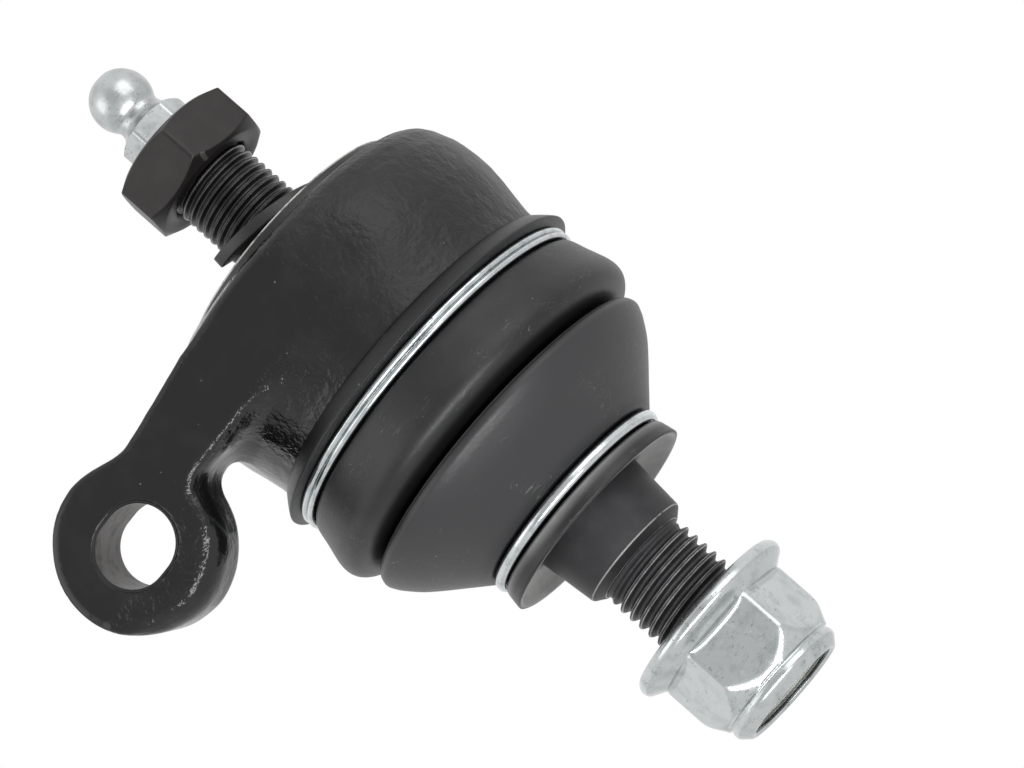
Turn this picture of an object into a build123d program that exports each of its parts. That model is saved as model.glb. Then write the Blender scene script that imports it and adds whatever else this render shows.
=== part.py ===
"""Suspension ball joint: forged housing with a side lug, threaded top stub, boot and tapered stud.

All sizes are millimetres.  The origin is the centre of the ball.  +Z runs up the axis of the joint
to the grease nipple, the side lug points towards -X and its bolt slot runs along Y.
"""
import os
from math import acos, cos, degrees, radians, sin, sqrt, tan

from build123d import *

# ---- ball, swing and stud --------------------------------------------------------------------
ball_r = 11.0
ball_fit = 0.04            # radial clearance of the ball in its seats
ball_flat_r = 4.2          # grease flat on top of the ball
swing_limit = 18.0         # degrees to each side about each of the two swing axes
swing_gap = 0.35           # least gap of the neck to the throat at full swing
neck_r = 5.6
neck_end = 19.0            # depth below the ball centre where the neck starts to swell
neck_swell = 7.0           # height over which the neck swells to the thick end of the taper
taper_length = 10.4
taper_small_r = 6.62
taper_rate = 1 / 6         # loss of diameter per length
taper_chamfer = 0.9
stud_thread_r = 5.5
stud_undercut = 0.35       # depth of the runout groove above the thread
stud_undercut_h = 1.3
stud_chamfer = 0.8
stud_short = 1.4           # how far the stud ends inside the lock nut

# ---- flange lock nut on the stud -------------------------------------------------------------
lock_nut_drop = 9.2        # from the thin end of the taper to its bearing face
lock_nut_af = 15.0
lock_nut_turn = 10.5       # degrees, turn of its hexagon about Z
lock_corner_drop = 2.6     # height of the tapered corners
lock_hex_h = 7.5           # height of the hexagon between flange and collar
flange_r = 10.3
flange_t = 2.6
flange_edge_r = 1.0        # radius of the rounded rim
collar_r = 7.3
collar_h = 2.3
collar_lip = 0.9           # rolled lip that holds the insert
insert_wall = 1.0          # radial width of the locking ring
insert_h = 1.9
collar_mouth_gap = 0.25    # opening of the rolled lip, outside the thread
nut_fit = 0.05             # radial clearance of a nut on its thread
thread_break = 0.5         # countersink of a tapped hole
nut_chamfer_angle = 30.0
nut_face_land = 0.2        # flat ring of a chamfered nut, inside its flats

# ---- bearing inside the housing --------------------------------------------------------------
seat_wall = 2.2
seat_split = 0.5           # gap between the two seats
throat_depth = 7.2         # depth of the shoulder that carries the lower seat
upper_seat_open = 2.84     # from the top of its sphere down to its upper face
disc_spring_t = 0.8
disc_spring_h = 1.3        # height of the dished spring washer
disc_spring_gap = 0.45     # clearance of its edge in the bore
disc_spring_open = 0.6     # its hole, outside the opening of the upper seat
piece_fit = 0.05           # clearance of the inner pieces in the housing

# ---- forged housing --------------------------------------------------------------------------
cover_ledge = 0.9          # ledge that carries the cover
rim_wall = 0.9             # rolled rim outside the cover
rim_band = 1.4             # height of the turned band under the rim
rim_band_flare = 0.25
rim_lip_t = 0.8            # rolled lip over the cover
rim_lip_in = 1.25
shoulder_step = 0.1        # flat between the band and the shoulder
shoulder_r = 4.2           # radius of the forged shoulder
body_draft = 0.35          # loss of radius down to the boot
groove_top = 7.1           # depth of the groove for the boot
groove_h = 2.8
groove_depth = 1.65
foot_h = 1.1               # height of the edge below the groove
foot_lip = 0.6             # how far that edge stands out of the groove
foot_chamfer = 0.6

# ---- side lug --------------------------------------------------------------------------------
eye_x = -30.3
eye_z = 0.65
eye_r = 9.2
slot_width = 8.1
slot_length = 9.9
slot_break = 0.35          # broken edge of the bolt slot
lug_flat = 0.49            # how far the flat front lies inside the side of the body
lug_t = 8.0
arm_top_neck = 8.1         # height of the arm's top beside the eye
arm_top_root = 9.4         # height of the arm's top where it meets the shoulder
arm_top_blend = 7.2        # height where the top runs out on the front of the body
arm_bottom = -0.3
armpit_r = 2.5
eye_neck_r = 5.0
gusset_r = 7.0
lug_edge_r = 1.8
lug_back_edge_r = 1.2
flat_end = 3.6             # how far the flat front runs past the axis

# ---- cover with threaded stub ----------------------------------------------------------------
cover_t = 1.7
cover_dome_gap = 0.5       # room over the ball under the cover
hub_r = 9.0
hub_foot = 0.4
hub_break = 0.3
stub_thread_r = 4.95
stub_length = 17.2         # above the hub
stub_chamfer = 0.6
grease_bore_r = 1.4

# ---- spring washer and jam nut ---------------------------------------------------------------
washer_play = 0.4          # of the washer's bore on the stub
washer_w = 2.65
washer_t = 1.4
washer_pitch = 3.1          # free height of one turn
washer_gap = 7.0           # degrees between its two ends
washer_split = 220.0       # direction of its lower end
washer_tilt = 6.5          # degrees, the way it leans on the stub
washer_seat_gap = 0.06
jam_nut_lift = 11.5        # from the hub to the nut
jam_nut_h = 6.1
jam_nut_af = 15.0
jam_nut_turn = -15.5

# ---- grease nipple ---------------------------------------------------------------------------
nipple_af = 7.4
nipple_turn = 18.0
nipple_hex_h = 3.5
nipple_cone = 1.0          # height of the cone between hexagon and neck
nipple_thread_r = 2.95
nipple_thread_h = 5.0
nipple_drill = 0.6         # depth of the tapped hole past the nipple
nipple_head_r = 3.45
nipple_head_rise = 7.5     # head centre above the seat of the nipple
nipple_neck_r = 2.6
nipple_tip_cut = 0.3       # flat on the tip
nipple_bore_r = 1.25
nipple_mouth_r = 0.8
nipple_mouth_wall = 0.35   # from the tip to the top of the check ball
nipple_foot_wall = 0.5
check_ball_r = 1.1
check_ball_fit = 0.03
valve_spring_r = 0.95
valve_wire_r = 0.17
valve_turns = 5

# ---- dust boot and its rings -----------------------------------------------------------------
boot_gap = 0.3             # clearance of the boot all round
boot_lip_t = 1.25
boot_lip_h = 2.1
boot_lip_slope = 1.7       # height of its sloping top
boot_wall = 1.7
ring_seat_wall = 0.55
ring_gap = 0.3             # clearance of a ring on the rubber
large_ring_drop = 0.9      # from the top of the groove to the ring
large_wire = 0.78          # wire diameter
large_ring_turns = 2
ring_overlap = 0.94        # spacing of the turns, as a share of the wire
bulge_out = 3.0            # how far the bulge stands out of the housing's edge
bulge_drop = 4.7
bulge_h = 2.2
bulge_round = 1.3
fold_in = 3.3              # depth of the fold
fold_drop = 2.4
fold_round = 0.5
belly_in = 1.6             # how far the belly lies inside the bulge
belly_drop = 1.4
belly_round = 0.9
cone_h = 8.0
lower_lip_wall = 3.05      # rubber round the stud at the lower ring
cone_step = 1.25
mouth_step = 1.45
mouth_edge = 0.8
mouth_flare = 2.0
mouth_h = 2.25
small_ring_drop = 0.2
small_wire = 1.05

# ---- worked out from the sizes above ---------------------------------------------------------
swing = degrees(acos(cos(radians(swing_limit)) ** 2))
seat_ball_r = ball_r + ball_fit
seat_r = seat_ball_r + seat_wall
upper_seat_top = seat_ball_r - upper_seat_open
upper_seat_mouth_r = sqrt(seat_ball_r ** 2 - upper_seat_top ** 2)
cover_bottom = upper_seat_top + disc_spring_h
cover_top = cover_bottom + cover_t
cover_r = seat_r + cover_ledge
rim_top = cover_top + rim_lip_t
rim_r = cover_r + rim_wall
band_r = rim_r + rim_band_flare
body_r = band_r + shoulder_step + shoulder_r
body_foot_r = body_r - body_draft
groove_r = body_foot_r - groove_depth
groove_bottom = groove_top + groove_h
foot_edge_r = groove_r + foot_lip
housing_foot = groove_bottom + foot_h
lug_face = body_r - lug_flat
lug_back = lug_face - lug_t
stub_end = rim_top + stub_length
jam_nut_bottom = rim_top + jam_nut_lift
washer_bore_r = stub_thread_r + washer_play
washer_r = washer_bore_r + washer_w
shank_start = neck_end + neck_swell
shank_end = shank_start + taper_length
shank_start_r = taper_small_r + taper_length * taper_rate / 2
lock_nut_face = shank_end + lock_nut_drop
lock_nut_collar = lock_nut_face + flange_t + lock_hex_h
lock_nut_end = lock_nut_collar + collar_h
stud_end = lock_nut_end - stud_short
insert_r = stud_thread_r + insert_wall
large_ring_top = groove_top + large_ring_drop
large_ring_seat_r = foot_edge_r + boot_gap + ring_seat_wall
large_ring_bottom = large_ring_top + large_wire * (1 + (large_ring_turns - 1) * ring_overlap)
boot_lip_r = body_foot_r + boot_gap + boot_lip_t
boot_lip_bottom = large_ring_top - ring_gap
bulge_r = foot_edge_r + bulge_out
bulge_depth = housing_foot + bulge_drop
fold_r = bulge_r - fold_in
fold_depth = bulge_depth + fold_drop
belly_r = bulge_r - belly_in
belly_depth = fold_depth + belly_drop
cone_end = belly_depth + cone_h
sleeve_r = shank_start_r + boot_gap
small_ring_seat_r = sleeve_r + lower_lip_wall
small_ring_top = cone_end + small_ring_drop
small_ring_bottom = small_ring_top + small_wire
cone_end_r = small_ring_seat_r + cone_step
mouth_r = small_ring_seat_r + mouth_step
mouth_top = small_ring_bottom + ring_gap
boot_end = mouth_top + mouth_h


def turned(*outline):
    """The solid turned about Z from (radius, height) points joined by straight lines."""
    return revolve(Plane.XZ * make_face(Polyline(*outline, close=True)), Axis.Z)


def turned_face(*edges):
    """The solid turned about Z from edges of (radius, height) that close an outline."""
    return revolve(Plane.XZ * make_face(Curve() + list(edges)), Axis.Z)


def bar(radius, low, high):
    """A round bar on the Z axis."""
    return Pos(0, 0, low) * extrude(Circle(radius), high - low)


def throat_r(depth):
    """Radius that the neck of the stud needs at a depth, at full swing."""
    return depth * tan(radians(swing)) + neck_r / cos(radians(swing)) + swing_gap


def throat_on_ball():
    """Depth where the cone of the throat meets the sphere of the seats."""
    slope = tan(radians(swing))
    rest = neck_r / cos(radians(swing)) + swing_gap
    a = 1 + slope ** 2
    b = slope * rest
    c = rest ** 2 - seat_ball_r ** 2
    return (sqrt(b * b - a * c) - b) / a


def throat_on_ball_r():
    """Radius of the circle where the cone of the throat meets the sphere of the seats."""
    return throat_r(throat_on_ball())


def hexagon(across_flats, low, high, turn, chamfer_low, chamfer_high):
    """A hexagon bar on the Z axis with turned 30 degree corners at either end."""
    corner = across_flats / sqrt(3)
    face_r = across_flats / 2 - nut_face_land
    drop = (corner - face_r) * tan(radians(nut_chamfer_angle))
    prism = Pos(0, 0, low) * extrude(RegularPolygon(corner, 6, rotation=turn), high - low)
    bottom = [(face_r, low), (corner, low + drop)] if chamfer_low else [(corner, low)]
    top = [(corner, high - drop), (face_r, high)] if chamfer_high else [(corner, high)]
    return prism & turned((0, low), *bottom, *top, (0, high))


def rounded_corner(outline, across, up, radius):
    """The flat outline with its corner between two limits in each direction rounded."""
    inside = [
        v for v in outline.vertices() if across[0] < v.X < across[1] and up[0] < v.Y < up[1]
    ]
    return fillet(inside, radius)


# ---- housing ---------------------------------------------------------------------------------
def housing_body():
    """The round forging: band, shoulder, side, boot groove and lower edge, still solid inside."""
    band_z = rim_top - rim_band
    shoulder_top = (body_r - shoulder_r, band_z)
    shoulder_side = (body_r, band_z - shoulder_r)
    lower_r = foot_edge_r - foot_chamfer
    return turned_face(
        Line((0, rim_top), (rim_r, rim_top)),
        Line((rim_r, rim_top), (band_r, band_z)),
        Line((band_r, band_z), shoulder_top),
        RadiusArc(shoulder_top, shoulder_side, shoulder_r),
        Line(shoulder_side, (body_r, 0)),
        Line((body_r, 0), (body_foot_r, -groove_top)),
        Line((body_foot_r, -groove_top), (groove_r, -groove_top)),
        Line((groove_r, -groove_top), (groove_r, -groove_bottom)),
        Line((groove_r, -groove_bottom), (foot_edge_r, -groove_bottom)),
        Line((foot_edge_r, -groove_bottom), (foot_edge_r, foot_chamfer - housing_foot)),
        Line((foot_edge_r, foot_chamfer - housing_foot), (lower_r, -housing_foot)),
        Line((lower_r, -housing_foot), (0, -housing_foot)),
        Line((0, -housing_foot), (0, rim_top)),
    )


def housing_cavity():
    """The space inside: throat, seat chamber, ledge for the cover and mouth of the rolled lip."""
    return turned(
        (0, -housing_foot - 1),
        (throat_r(housing_foot + 1), -housing_foot - 1),
        (throat_r(throat_depth), -throat_depth),
        (seat_r + piece_fit, -throat_depth),
        (seat_r + piece_fit, cover_bottom),
        (cover_r + piece_fit, cover_bottom),
        (cover_r + piece_fit, cover_top),
        (cover_r - rim_lip_in, cover_top),
        (cover_r - rim_lip_in, rim_top + 1),
        (0, rim_top + 1),
    )


def lug_elevation():
    """The lug seen along Y: the eye, the arm beside it and the rounded corners between them."""
    arm = make_face(
        Polyline(
            (eye_x, arm_bottom),
            (flat_end, arm_bottom),
            (flat_end, arm_top_blend),
            (-body_r / 2, arm_top_root),
            (eye_x, arm_top_neck),
            close=True,
        )
    )
    outline = Pos(eye_x, eye_z) * Circle(eye_r) + arm
    beside_eye = (eye_x, -body_r / 2 - 0.1)
    outline = rounded_corner(outline, beside_eye, (eye_z - eye_r, eye_z), armpit_r)
    outline = rounded_corner(outline, beside_eye, (eye_z + eye_r / 2, eye_z + eye_r), eye_neck_r)
    return rounded_corner(outline, (-body_r / 2 - 0.1, 0), (eye_z, arm_top_root + 1), eye_r)


def lug_plan():
    """The lug seen along Z: the flat plate and the arc that carries its back onto the body."""
    centre_y = gusset_r - lug_back
    reach = body_r + gusset_r
    centre_x = -sqrt(reach ** 2 - centre_y ** 2)
    foot = (centre_x * body_r / reach, centre_y * body_r / reach)
    far = eye_x - eye_r
    return make_face(
        Curve()
        + [
            Line((far, -lug_face), (flat_end, -lug_face)),
            Line((flat_end, -lug_face), (flat_end, -lug_back)),
            Line((flat_end, -lug_back), (-cover_r, foot[1])),
            Line((-cover_r, foot[1]), foot),
            RadiusArc(foot, (centre_x, -lug_back), gusset_r),
            Line((centre_x, -lug_back), (far, -lug_back)),
            Line((far, -lug_back), (far, -lug_face)),
        ]
    )


def housing_lug():
    """The lug as a solid with its forged edges rounded, front and back."""
    height = 2 * eye_r + arm_top_root
    plan = Pos(0, 0, eye_z - eye_r) * extrude(lug_plan(), height)
    lug = extrude(Plane.XZ * lug_elevation(), lug_face) & plan
    front = lug.faces().sort_by(Axis.Y)[0]
    outer = [e for e in front.edges() if e.center().X < flat_end - lug_edge_r]
    lug = fillet(outer, lug_edge_r)
    back = [
        e for e in lug.edges().filter_by_position(Axis.Y, -lug_back - 0.01, -lug_back + 0.01)
        if e.center().X < eye_x
    ]
    return fillet(back, lug_back_edge_r)


def bolt_slot():
    """The oval hole for the bolt, with its edges broken at both faces."""
    outline = Plane.XZ.offset(lug_back - slot_break) * Pos(eye_x, eye_z)
    slot = extrude(outline * SlotOverall(slot_length, slot_width), lug_t + 2 * slot_break)
    ends = []
    for face, side in ((lug_face, -1), (lug_back, 1)):
        wide = Plane.XZ.offset(face) * Pos(eye_x, eye_z)
        mouth = SlotOverall(slot_length + 2 * slot_break, slot_width + 2 * slot_break)
        ends.append(extrude(wide * mouth, side * slot_break, taper=45))
    return slot, ends


def forged_housing():
    """The housing forging with its lug, its flat front, its bolt slot and its bored inside."""
    body = housing_body()
    flat_low = boot_lip_h - boot_lip_bottom + boot_gap
    front_cut = Pos(0, -lug_face, flat_low) * Box(
        4 * body_r,
        lug_t,
        rim_top - flat_low,
        align=(Align.CENTER, Align.MAX, Align.MIN),
    )
    housing = body - front_cut + housing_lug()
    slot, ends = bolt_slot()
    return housing - housing_cavity() - slot - ends


# ---- cover with its stub, spring washer, jam nut -----------------------------------------------
def stub_cover():
    """The turned cover with the threaded stub, drilled for grease and tapped for the nipple."""
    outer = turned(
        (0, cover_bottom),
        (cover_r, cover_bottom),
        (cover_r, cover_top),
        (hub_r + hub_foot, cover_top),
        (hub_r, cover_top + hub_foot),
        (hub_r, rim_top - hub_break),
        (hub_r - hub_break, rim_top),
        (stub_thread_r, rim_top),
        (stub_thread_r, stub_end - stub_chamfer),
        (stub_thread_r - stub_chamfer, stub_end),
        (0, stub_end),
    )
    dome = Sphere(ball_r + cover_dome_gap)
    tapped = bar(nipple_thread_r + nut_fit, stub_end - nipple_thread_h - nipple_drill, stub_end + 1)
    return outer - dome - bar(grease_bore_r, 0, stub_end) - tapped


def spring_washer():
    """The split lock washer: one left-hand turn, leaning, resting on the hub of the cover."""
    turn = 360 - washer_gap
    middle_r = (washer_r + washer_bore_r) / 2
    path = Helix(washer_pitch, washer_pitch * turn / 360, middle_r, lefthand=True)
    section = Plane(origin=path @ 0, x_dir=(1, 0, 0), z_dir=path % 0) * Rectangle(
        washer_r - washer_bore_r, washer_t
    )
    coil = sweep(section, path=path, is_frenet=True)
    leaning = Rot(0, washer_tilt, 0) * Rot(0, 0, washer_split) * coil
    drop = rim_top + washer_seat_gap - leaning.bounding_box().min.Z
    return Pos(0, 0, drop) * leaning


def jam_nut():
    """The thin hexagon nut on the stub, with both ends chamfered."""
    top = jam_nut_bottom + jam_nut_h
    blank = hexagon(jam_nut_af, jam_nut_bottom, top, jam_nut_turn, True, True)
    bore_r = stub_thread_r + nut_fit
    return blank - bar(bore_r, jam_nut_bottom - 1, top + 1) - countersinks(bore_r, jam_nut_bottom, top)


def countersinks(bore_r, low, high):
    """The countersinks at both ends of a tapped hole."""
    wide = bore_r + thread_break
    bottom = turned((0, low), (wide, low), (bore_r, low + thread_break), (0, low + thread_break))
    top = turned((0, high), (wide, high), (bore_r, high - thread_break), (0, high - thread_break))
    return bottom + top


# ---- grease nipple -----------------------------------------------------------------------------
def nipple_parts():
    """The grease nipple as body, check ball and spring."""
    seat = stub_end
    shoulder = seat + nipple_hex_h
    head_z = seat + nipple_head_rise
    foot = seat - nipple_thread_h
    joint = head_z - sqrt(nipple_head_r ** 2 - nipple_neck_r ** 2)
    tip_z = head_z + nipple_head_r - nipple_tip_cut
    tip_r = sqrt(nipple_head_r ** 2 - (nipple_head_r - nipple_tip_cut) ** 2)
    side = (nipple_head_r, head_z)
    cone = turned_face(
        Line((0, shoulder), (nipple_af / 2, shoulder)),
        Line((nipple_af / 2, shoulder), (nipple_neck_r, shoulder + nipple_cone)),
        Line((nipple_neck_r, shoulder + nipple_cone), (nipple_neck_r, joint)),
        ThreePointArc((nipple_neck_r, joint), side, (tip_r, tip_z)),
        Line((tip_r, tip_z), (0, tip_z)),
        Line((0, tip_z), (0, shoulder)),
    )
    hex_part = hexagon(nipple_af, seat, shoulder, nipple_turn, False, True)
    body = cone + hex_part + bar(nipple_thread_r, foot, seat)
    ball_z = tip_z - nipple_mouth_wall - check_ball_r
    seat_sum = (check_ball_r + check_ball_fit) * sqrt(2)
    wire_centre = check_ball_r + valve_wire_r + check_ball_fit
    spring_top = ball_z - sqrt(wire_centre ** 2 - valve_spring_r ** 2) + valve_wire_r
    spring_low = foot + nipple_foot_wall
    inside = turned(
        (0, foot - 1),
        (nipple_mouth_r, foot - 1),
        (nipple_mouth_r, spring_low),
        (nipple_bore_r, spring_low),
        (nipple_bore_r, ball_z + seat_sum - nipple_bore_r),
        (nipple_mouth_r, ball_z + seat_sum - nipple_mouth_r),
        (nipple_mouth_r, tip_z + 1),
        (0, tip_z + 1),
    )
    return body - inside, Pos(0, 0, ball_z) * Sphere(check_ball_r), spring_low, spring_top


def nipple_spring(low, high):
    """The small coil spring under the check ball."""
    height = high - low - 2 * valve_wire_r
    path = Helix(height / valve_turns, height, valve_spring_r)
    section = Plane(origin=path @ 0, z_dir=path % 0) * Circle(valve_wire_r)
    return Pos(0, 0, low + valve_wire_r) * sweep(section, path=path, is_frenet=True)


# ---- bearing -----------------------------------------------------------------------------------
def lower_bearing_seat():
    """The plastic seat under the ball, open below for the neck."""
    blank = turned(
        (throat_r(throat_depth), -throat_depth),
        (seat_r, -throat_depth),
        (seat_r, -seat_split / 2),
        (ball_r / 2, -seat_split / 2),
        (throat_on_ball_r(), -throat_on_ball()),
    )
    return blank - Sphere(seat_ball_r)


def upper_bearing_seat():
    """The plastic seat over the ball, open above for grease."""
    ring = bar(seat_r, seat_split / 2, upper_seat_top)
    return ring - Sphere(seat_ball_r)


def preload_disc_spring():
    """The dished spring washer between the upper seat and the cover."""
    hole_r = upper_seat_mouth_r + disc_spring_open
    edge_r = seat_r - disc_spring_gap
    return turned(
        (hole_r, cover_bottom - disc_spring_t),
        (edge_r, upper_seat_top),
        (edge_r, upper_seat_top + disc_spring_t),
        (hole_r, cover_bottom),
    )


# ---- stud, lock nut ----------------------------------------------------------------------------
def ball_stud():
    """Ball, neck, taper and threaded end, turned in one piece."""
    flat_z = sqrt(ball_r ** 2 - ball_flat_r ** 2)
    neck_z = -sqrt(ball_r ** 2 - neck_r ** 2)
    step_r = taper_small_r - taper_chamfer
    step_z = -shank_end - taper_chamfer
    root_r = stud_thread_r - stud_undercut
    root_z = step_z - stud_undercut_h
    tip_r = stud_thread_r - stud_chamfer
    tip_z = stud_chamfer - stud_end
    return turned_face(
        Line((0, flat_z), (ball_flat_r, flat_z)),
        ThreePointArc((ball_flat_r, flat_z), (ball_r, 0), (neck_r, neck_z)),
        Line((neck_r, neck_z), (neck_r, -neck_end)),
        Line((neck_r, -neck_end), (shank_start_r, -shank_start)),
        Line((shank_start_r, -shank_start), (taper_small_r, -shank_end)),
        Line((taper_small_r, -shank_end), (step_r, step_z)),
        Line((step_r, step_z), (root_r, step_z)),
        Line((root_r, step_z), (root_r, root_z)),
        Line((root_r, root_z), (stud_thread_r, root_z)),
        Line((stud_thread_r, root_z), (stud_thread_r, tip_z)),
        Line((stud_thread_r, tip_z), (tip_r, -stud_end)),
        Line((tip_r, -stud_end), (0, -stud_end)),
        Line((0, -stud_end), (0, flat_z)),
    )


def lock_nut():
    """The flange lock nut: round flange, hexagon with tapered corners, collar with rolled lip."""
    corner = lock_nut_af / sqrt(3)
    blank = extrude(RegularPolygon(corner, 6, rotation=lock_nut_turn), lock_nut_collar)
    envelope = turned(
        (0, lock_nut_face + flange_edge_r),
        (corner, lock_nut_face + flange_edge_r),
        (corner, lock_nut_collar - lock_corner_drop),
        (collar_r, lock_nut_collar),
        (0, lock_nut_collar),
    )
    edge_z = lock_nut_face + flange_edge_r
    side_z = edge_z + flange_edge_r
    flange = turned_face(
        Line((0, lock_nut_face), (flange_r - flange_edge_r, lock_nut_face)),
        RadiusArc((flange_r - flange_edge_r, lock_nut_face), (flange_r, edge_z), -flange_edge_r),
        RadiusArc((flange_r, edge_z), (flange_r - flange_edge_r, side_z), -flange_edge_r),
        Line((flange_r - flange_edge_r, side_z), (lock_nut_af / 2, lock_nut_face + flange_t)),
        Line((lock_nut_af / 2, lock_nut_face + flange_t), (0, lock_nut_face + flange_t)),
        Line((0, lock_nut_face + flange_t), (0, lock_nut_face)),
    )
    collar = turned(
        (0, lock_nut_collar - 1),
        (collar_r, lock_nut_collar - 1),
        (collar_r, lock_nut_end - collar_lip),
        (collar_r - collar_lip, lock_nut_end),
        (0, lock_nut_end),
    )
    solid = (blank & envelope) + flange + collar
    bore_r = stud_thread_r + nut_fit
    insert_low = lock_nut_end - collar_lip - insert_h
    inside = turned(
        (0, lock_nut_face - 1),
        (bore_r + thread_break, lock_nut_face - 1),
        (bore_r + thread_break, lock_nut_face),
        (bore_r, lock_nut_face + thread_break),
        (bore_r, insert_low),
        (insert_r, insert_low),
        (insert_r, insert_low + insert_h),
        (bore_r + collar_mouth_gap, insert_low + insert_h),
        (bore_r + collar_mouth_gap, lock_nut_end + 1),
        (0, lock_nut_end + 1),
    )
    return Rot(180, 0, 0) * (solid - inside)


def nylon_insert():
    """The locking ring in the collar of the nut."""
    low = lock_nut_end - collar_lip - insert_h
    ring = bar(insert_r, low, low + insert_h) - bar(stud_thread_r + nut_fit, low - 1, low + insert_h + 1)
    return Rot(180, 0, 0) * ring


# ---- boot and rings ----------------------------------------------------------------------------
def dust_boot():
    """The rubber boot: lip on the housing, ring seats, bulge, fold, cone and open lower lip."""
    lip_in = body_foot_r + boot_gap
    bead_in = groove_r + boot_gap
    foot_in = foot_edge_r + boot_gap
    ring_low = large_ring_bottom + ring_gap
    mouth_in = mouth_r - mouth_edge
    inner_fold_r = fold_r - boot_wall
    outline = make_face(
        Polyline(
            (lip_in, boot_lip_h - boot_lip_bottom),
            (boot_lip_r, boot_lip_h - boot_lip_slope - boot_lip_bottom),
            (boot_lip_r, -boot_lip_bottom),
            (large_ring_seat_r, -boot_lip_bottom),
            (large_ring_seat_r, -ring_low),
            (bulge_r, -bulge_depth + bulge_h / 2),
            (bulge_r, -bulge_depth - bulge_h / 2),
            (fold_r, -fold_depth),
            (belly_r, -belly_depth),
            (cone_end_r, -cone_end),
            (small_ring_seat_r, -cone_end),
            (small_ring_seat_r, -mouth_top),
            (mouth_r, -mouth_top - mouth_edge),
            (mouth_r, -boot_end),
            (mouth_in, -boot_end),
            (sleeve_r, -boot_end + mouth_flare),
            (sleeve_r, -cone_end),
            (belly_r - boot_wall, -belly_depth - boot_wall / 2),
            (inner_fold_r, -fold_depth),
            (bulge_r - boot_wall, -bulge_depth),
            (foot_in, -housing_foot - boot_gap),
            (foot_in, -groove_bottom + boot_gap),
            (bead_in, -groove_bottom + boot_gap),
            (bead_in, -groove_top - boot_gap),
            (lip_in, -groove_top - boot_gap),
            close=True,
        )
    )
    bulge = (-bulge_depth - bulge_h, -bulge_depth + bulge_h)
    belly = (-belly_depth - boot_wall / 4, -belly_depth + boot_wall / 4)
    outline = rounded_corner(outline, (bulge_r - 0.01, bulge_r + 0.01), bulge, bulge_round)
    outline = rounded_corner(outline, (belly_r - 0.01, belly_r + 0.01), belly, belly_round)
    fold = (-fold_depth - 0.01, -fold_depth + 0.01)
    outline = rounded_corner(outline, (fold_r - 0.01, fold_r + 0.01), fold, fold_round)
    return revolve(Plane.XZ * outline, Axis.Z)


def wire_ring(seat_r, wire, top, turns):
    """A ring of round wire, its turns lying close on each other and fused where they touch."""
    path_r = seat_r + ring_gap + wire / 2
    ring = Torus(path_r, wire / 2)
    pitch = wire * ring_overlap
    return Part() + [Pos(0, 0, -top - wire / 2 - pitch * n) * ring for n in range(turns)]


def main():
    """Write one STEP file for each piece."""
    os.makedirs("parts", exist_ok=True)
    nipple_body, check_ball, spring_low, spring_top = nipple_parts()
    pieces = {
        "forged_housing": forged_housing(),
        "stub_cover": stub_cover(),
        "jam_nut": jam_nut(),
        "spring_washer": spring_washer(),
        "nipple_body": nipple_body,
        "nipple_check_ball": check_ball,
        "nipple_spring": nipple_spring(spring_low, spring_top),
        "preload_disc_spring": preload_disc_spring(),
        "upper_bearing_seat": upper_bearing_seat(),
        "lower_bearing_seat": lower_bearing_seat(),
        "ball_stud": ball_stud(),
        "dust_boot": dust_boot(),
        "large_clamp_ring": wire_ring(large_ring_seat_r, large_wire, large_ring_top, large_ring_turns),
        "small_clamp_ring": wire_ring(small_ring_seat_r, small_wire, small_ring_top, 1),
        "lock_nut": lock_nut(),
        "nylon_insert": nylon_insert(),
    }
    for name, piece in pieces.items():
        export_step(piece, f"parts/{name}.step")


if __name__ == "__main__":
    main()
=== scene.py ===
"""Suspension ball joint: forged housing with side lug, threaded stub, boot, tapered stud and nut.

Sizes are millimetres in the row frame: the ball's centre is the origin, +Z runs up to the grease
nipple and the lug points to -X.  Meshes are scaled to metres where they are made.
"""

import logging
import math
from dataclasses import dataclass, field
from enum import Enum
from typing import Callable, Iterable, Optional, Sequence

import bmesh
import bpy
import numpy as np
from mathutils import Matrix, Vector


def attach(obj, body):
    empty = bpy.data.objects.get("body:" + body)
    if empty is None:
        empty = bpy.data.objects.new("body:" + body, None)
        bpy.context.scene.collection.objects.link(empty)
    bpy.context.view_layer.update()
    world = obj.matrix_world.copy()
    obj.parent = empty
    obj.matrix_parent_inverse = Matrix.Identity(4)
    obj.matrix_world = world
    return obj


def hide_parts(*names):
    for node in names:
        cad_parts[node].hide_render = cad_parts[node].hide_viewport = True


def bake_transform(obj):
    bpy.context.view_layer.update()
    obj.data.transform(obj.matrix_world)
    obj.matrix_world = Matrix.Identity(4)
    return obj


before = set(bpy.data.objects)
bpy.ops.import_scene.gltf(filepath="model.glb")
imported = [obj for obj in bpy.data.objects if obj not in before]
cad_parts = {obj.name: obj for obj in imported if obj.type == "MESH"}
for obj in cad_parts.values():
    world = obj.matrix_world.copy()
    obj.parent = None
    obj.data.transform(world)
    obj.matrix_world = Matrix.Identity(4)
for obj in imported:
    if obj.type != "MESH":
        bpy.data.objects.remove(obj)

LOG = logging.getLogger("ball_joint")
MM = 0.001
TURN = 2.0 * math.pi
NUT_SLOPE = math.tan(math.radians(30.0))
REST = "rest_place"
WHITE = (1.0, 1.0, 1.0, 1.0)
NO_WEAR = (1.4, 1.5)  # no edge is this sharp, so none is rubbed
MERGED = 1e-7  # metres between points that become one
SETTLE_ROUNDS = 3

Colour = tuple[float, float, float]
Point = tuple[float, float, float]
Span = tuple[float, float]
Profile = Sequence[tuple[float, ...]]
DistanceField = Callable[[np.ndarray], np.ndarray]


class Body(Enum):
    """The bodies that the built pieces ride on."""

    HOUSING = "housing"
    BOOT = "boot"
    BOOT_CLAMP = "boot_clamp"
    STUD = "stud"
    LOCK_NUT = "lock_nut"
    JAM_NUT = "jam_nut"
    WASHER = "spring_washer"


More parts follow.
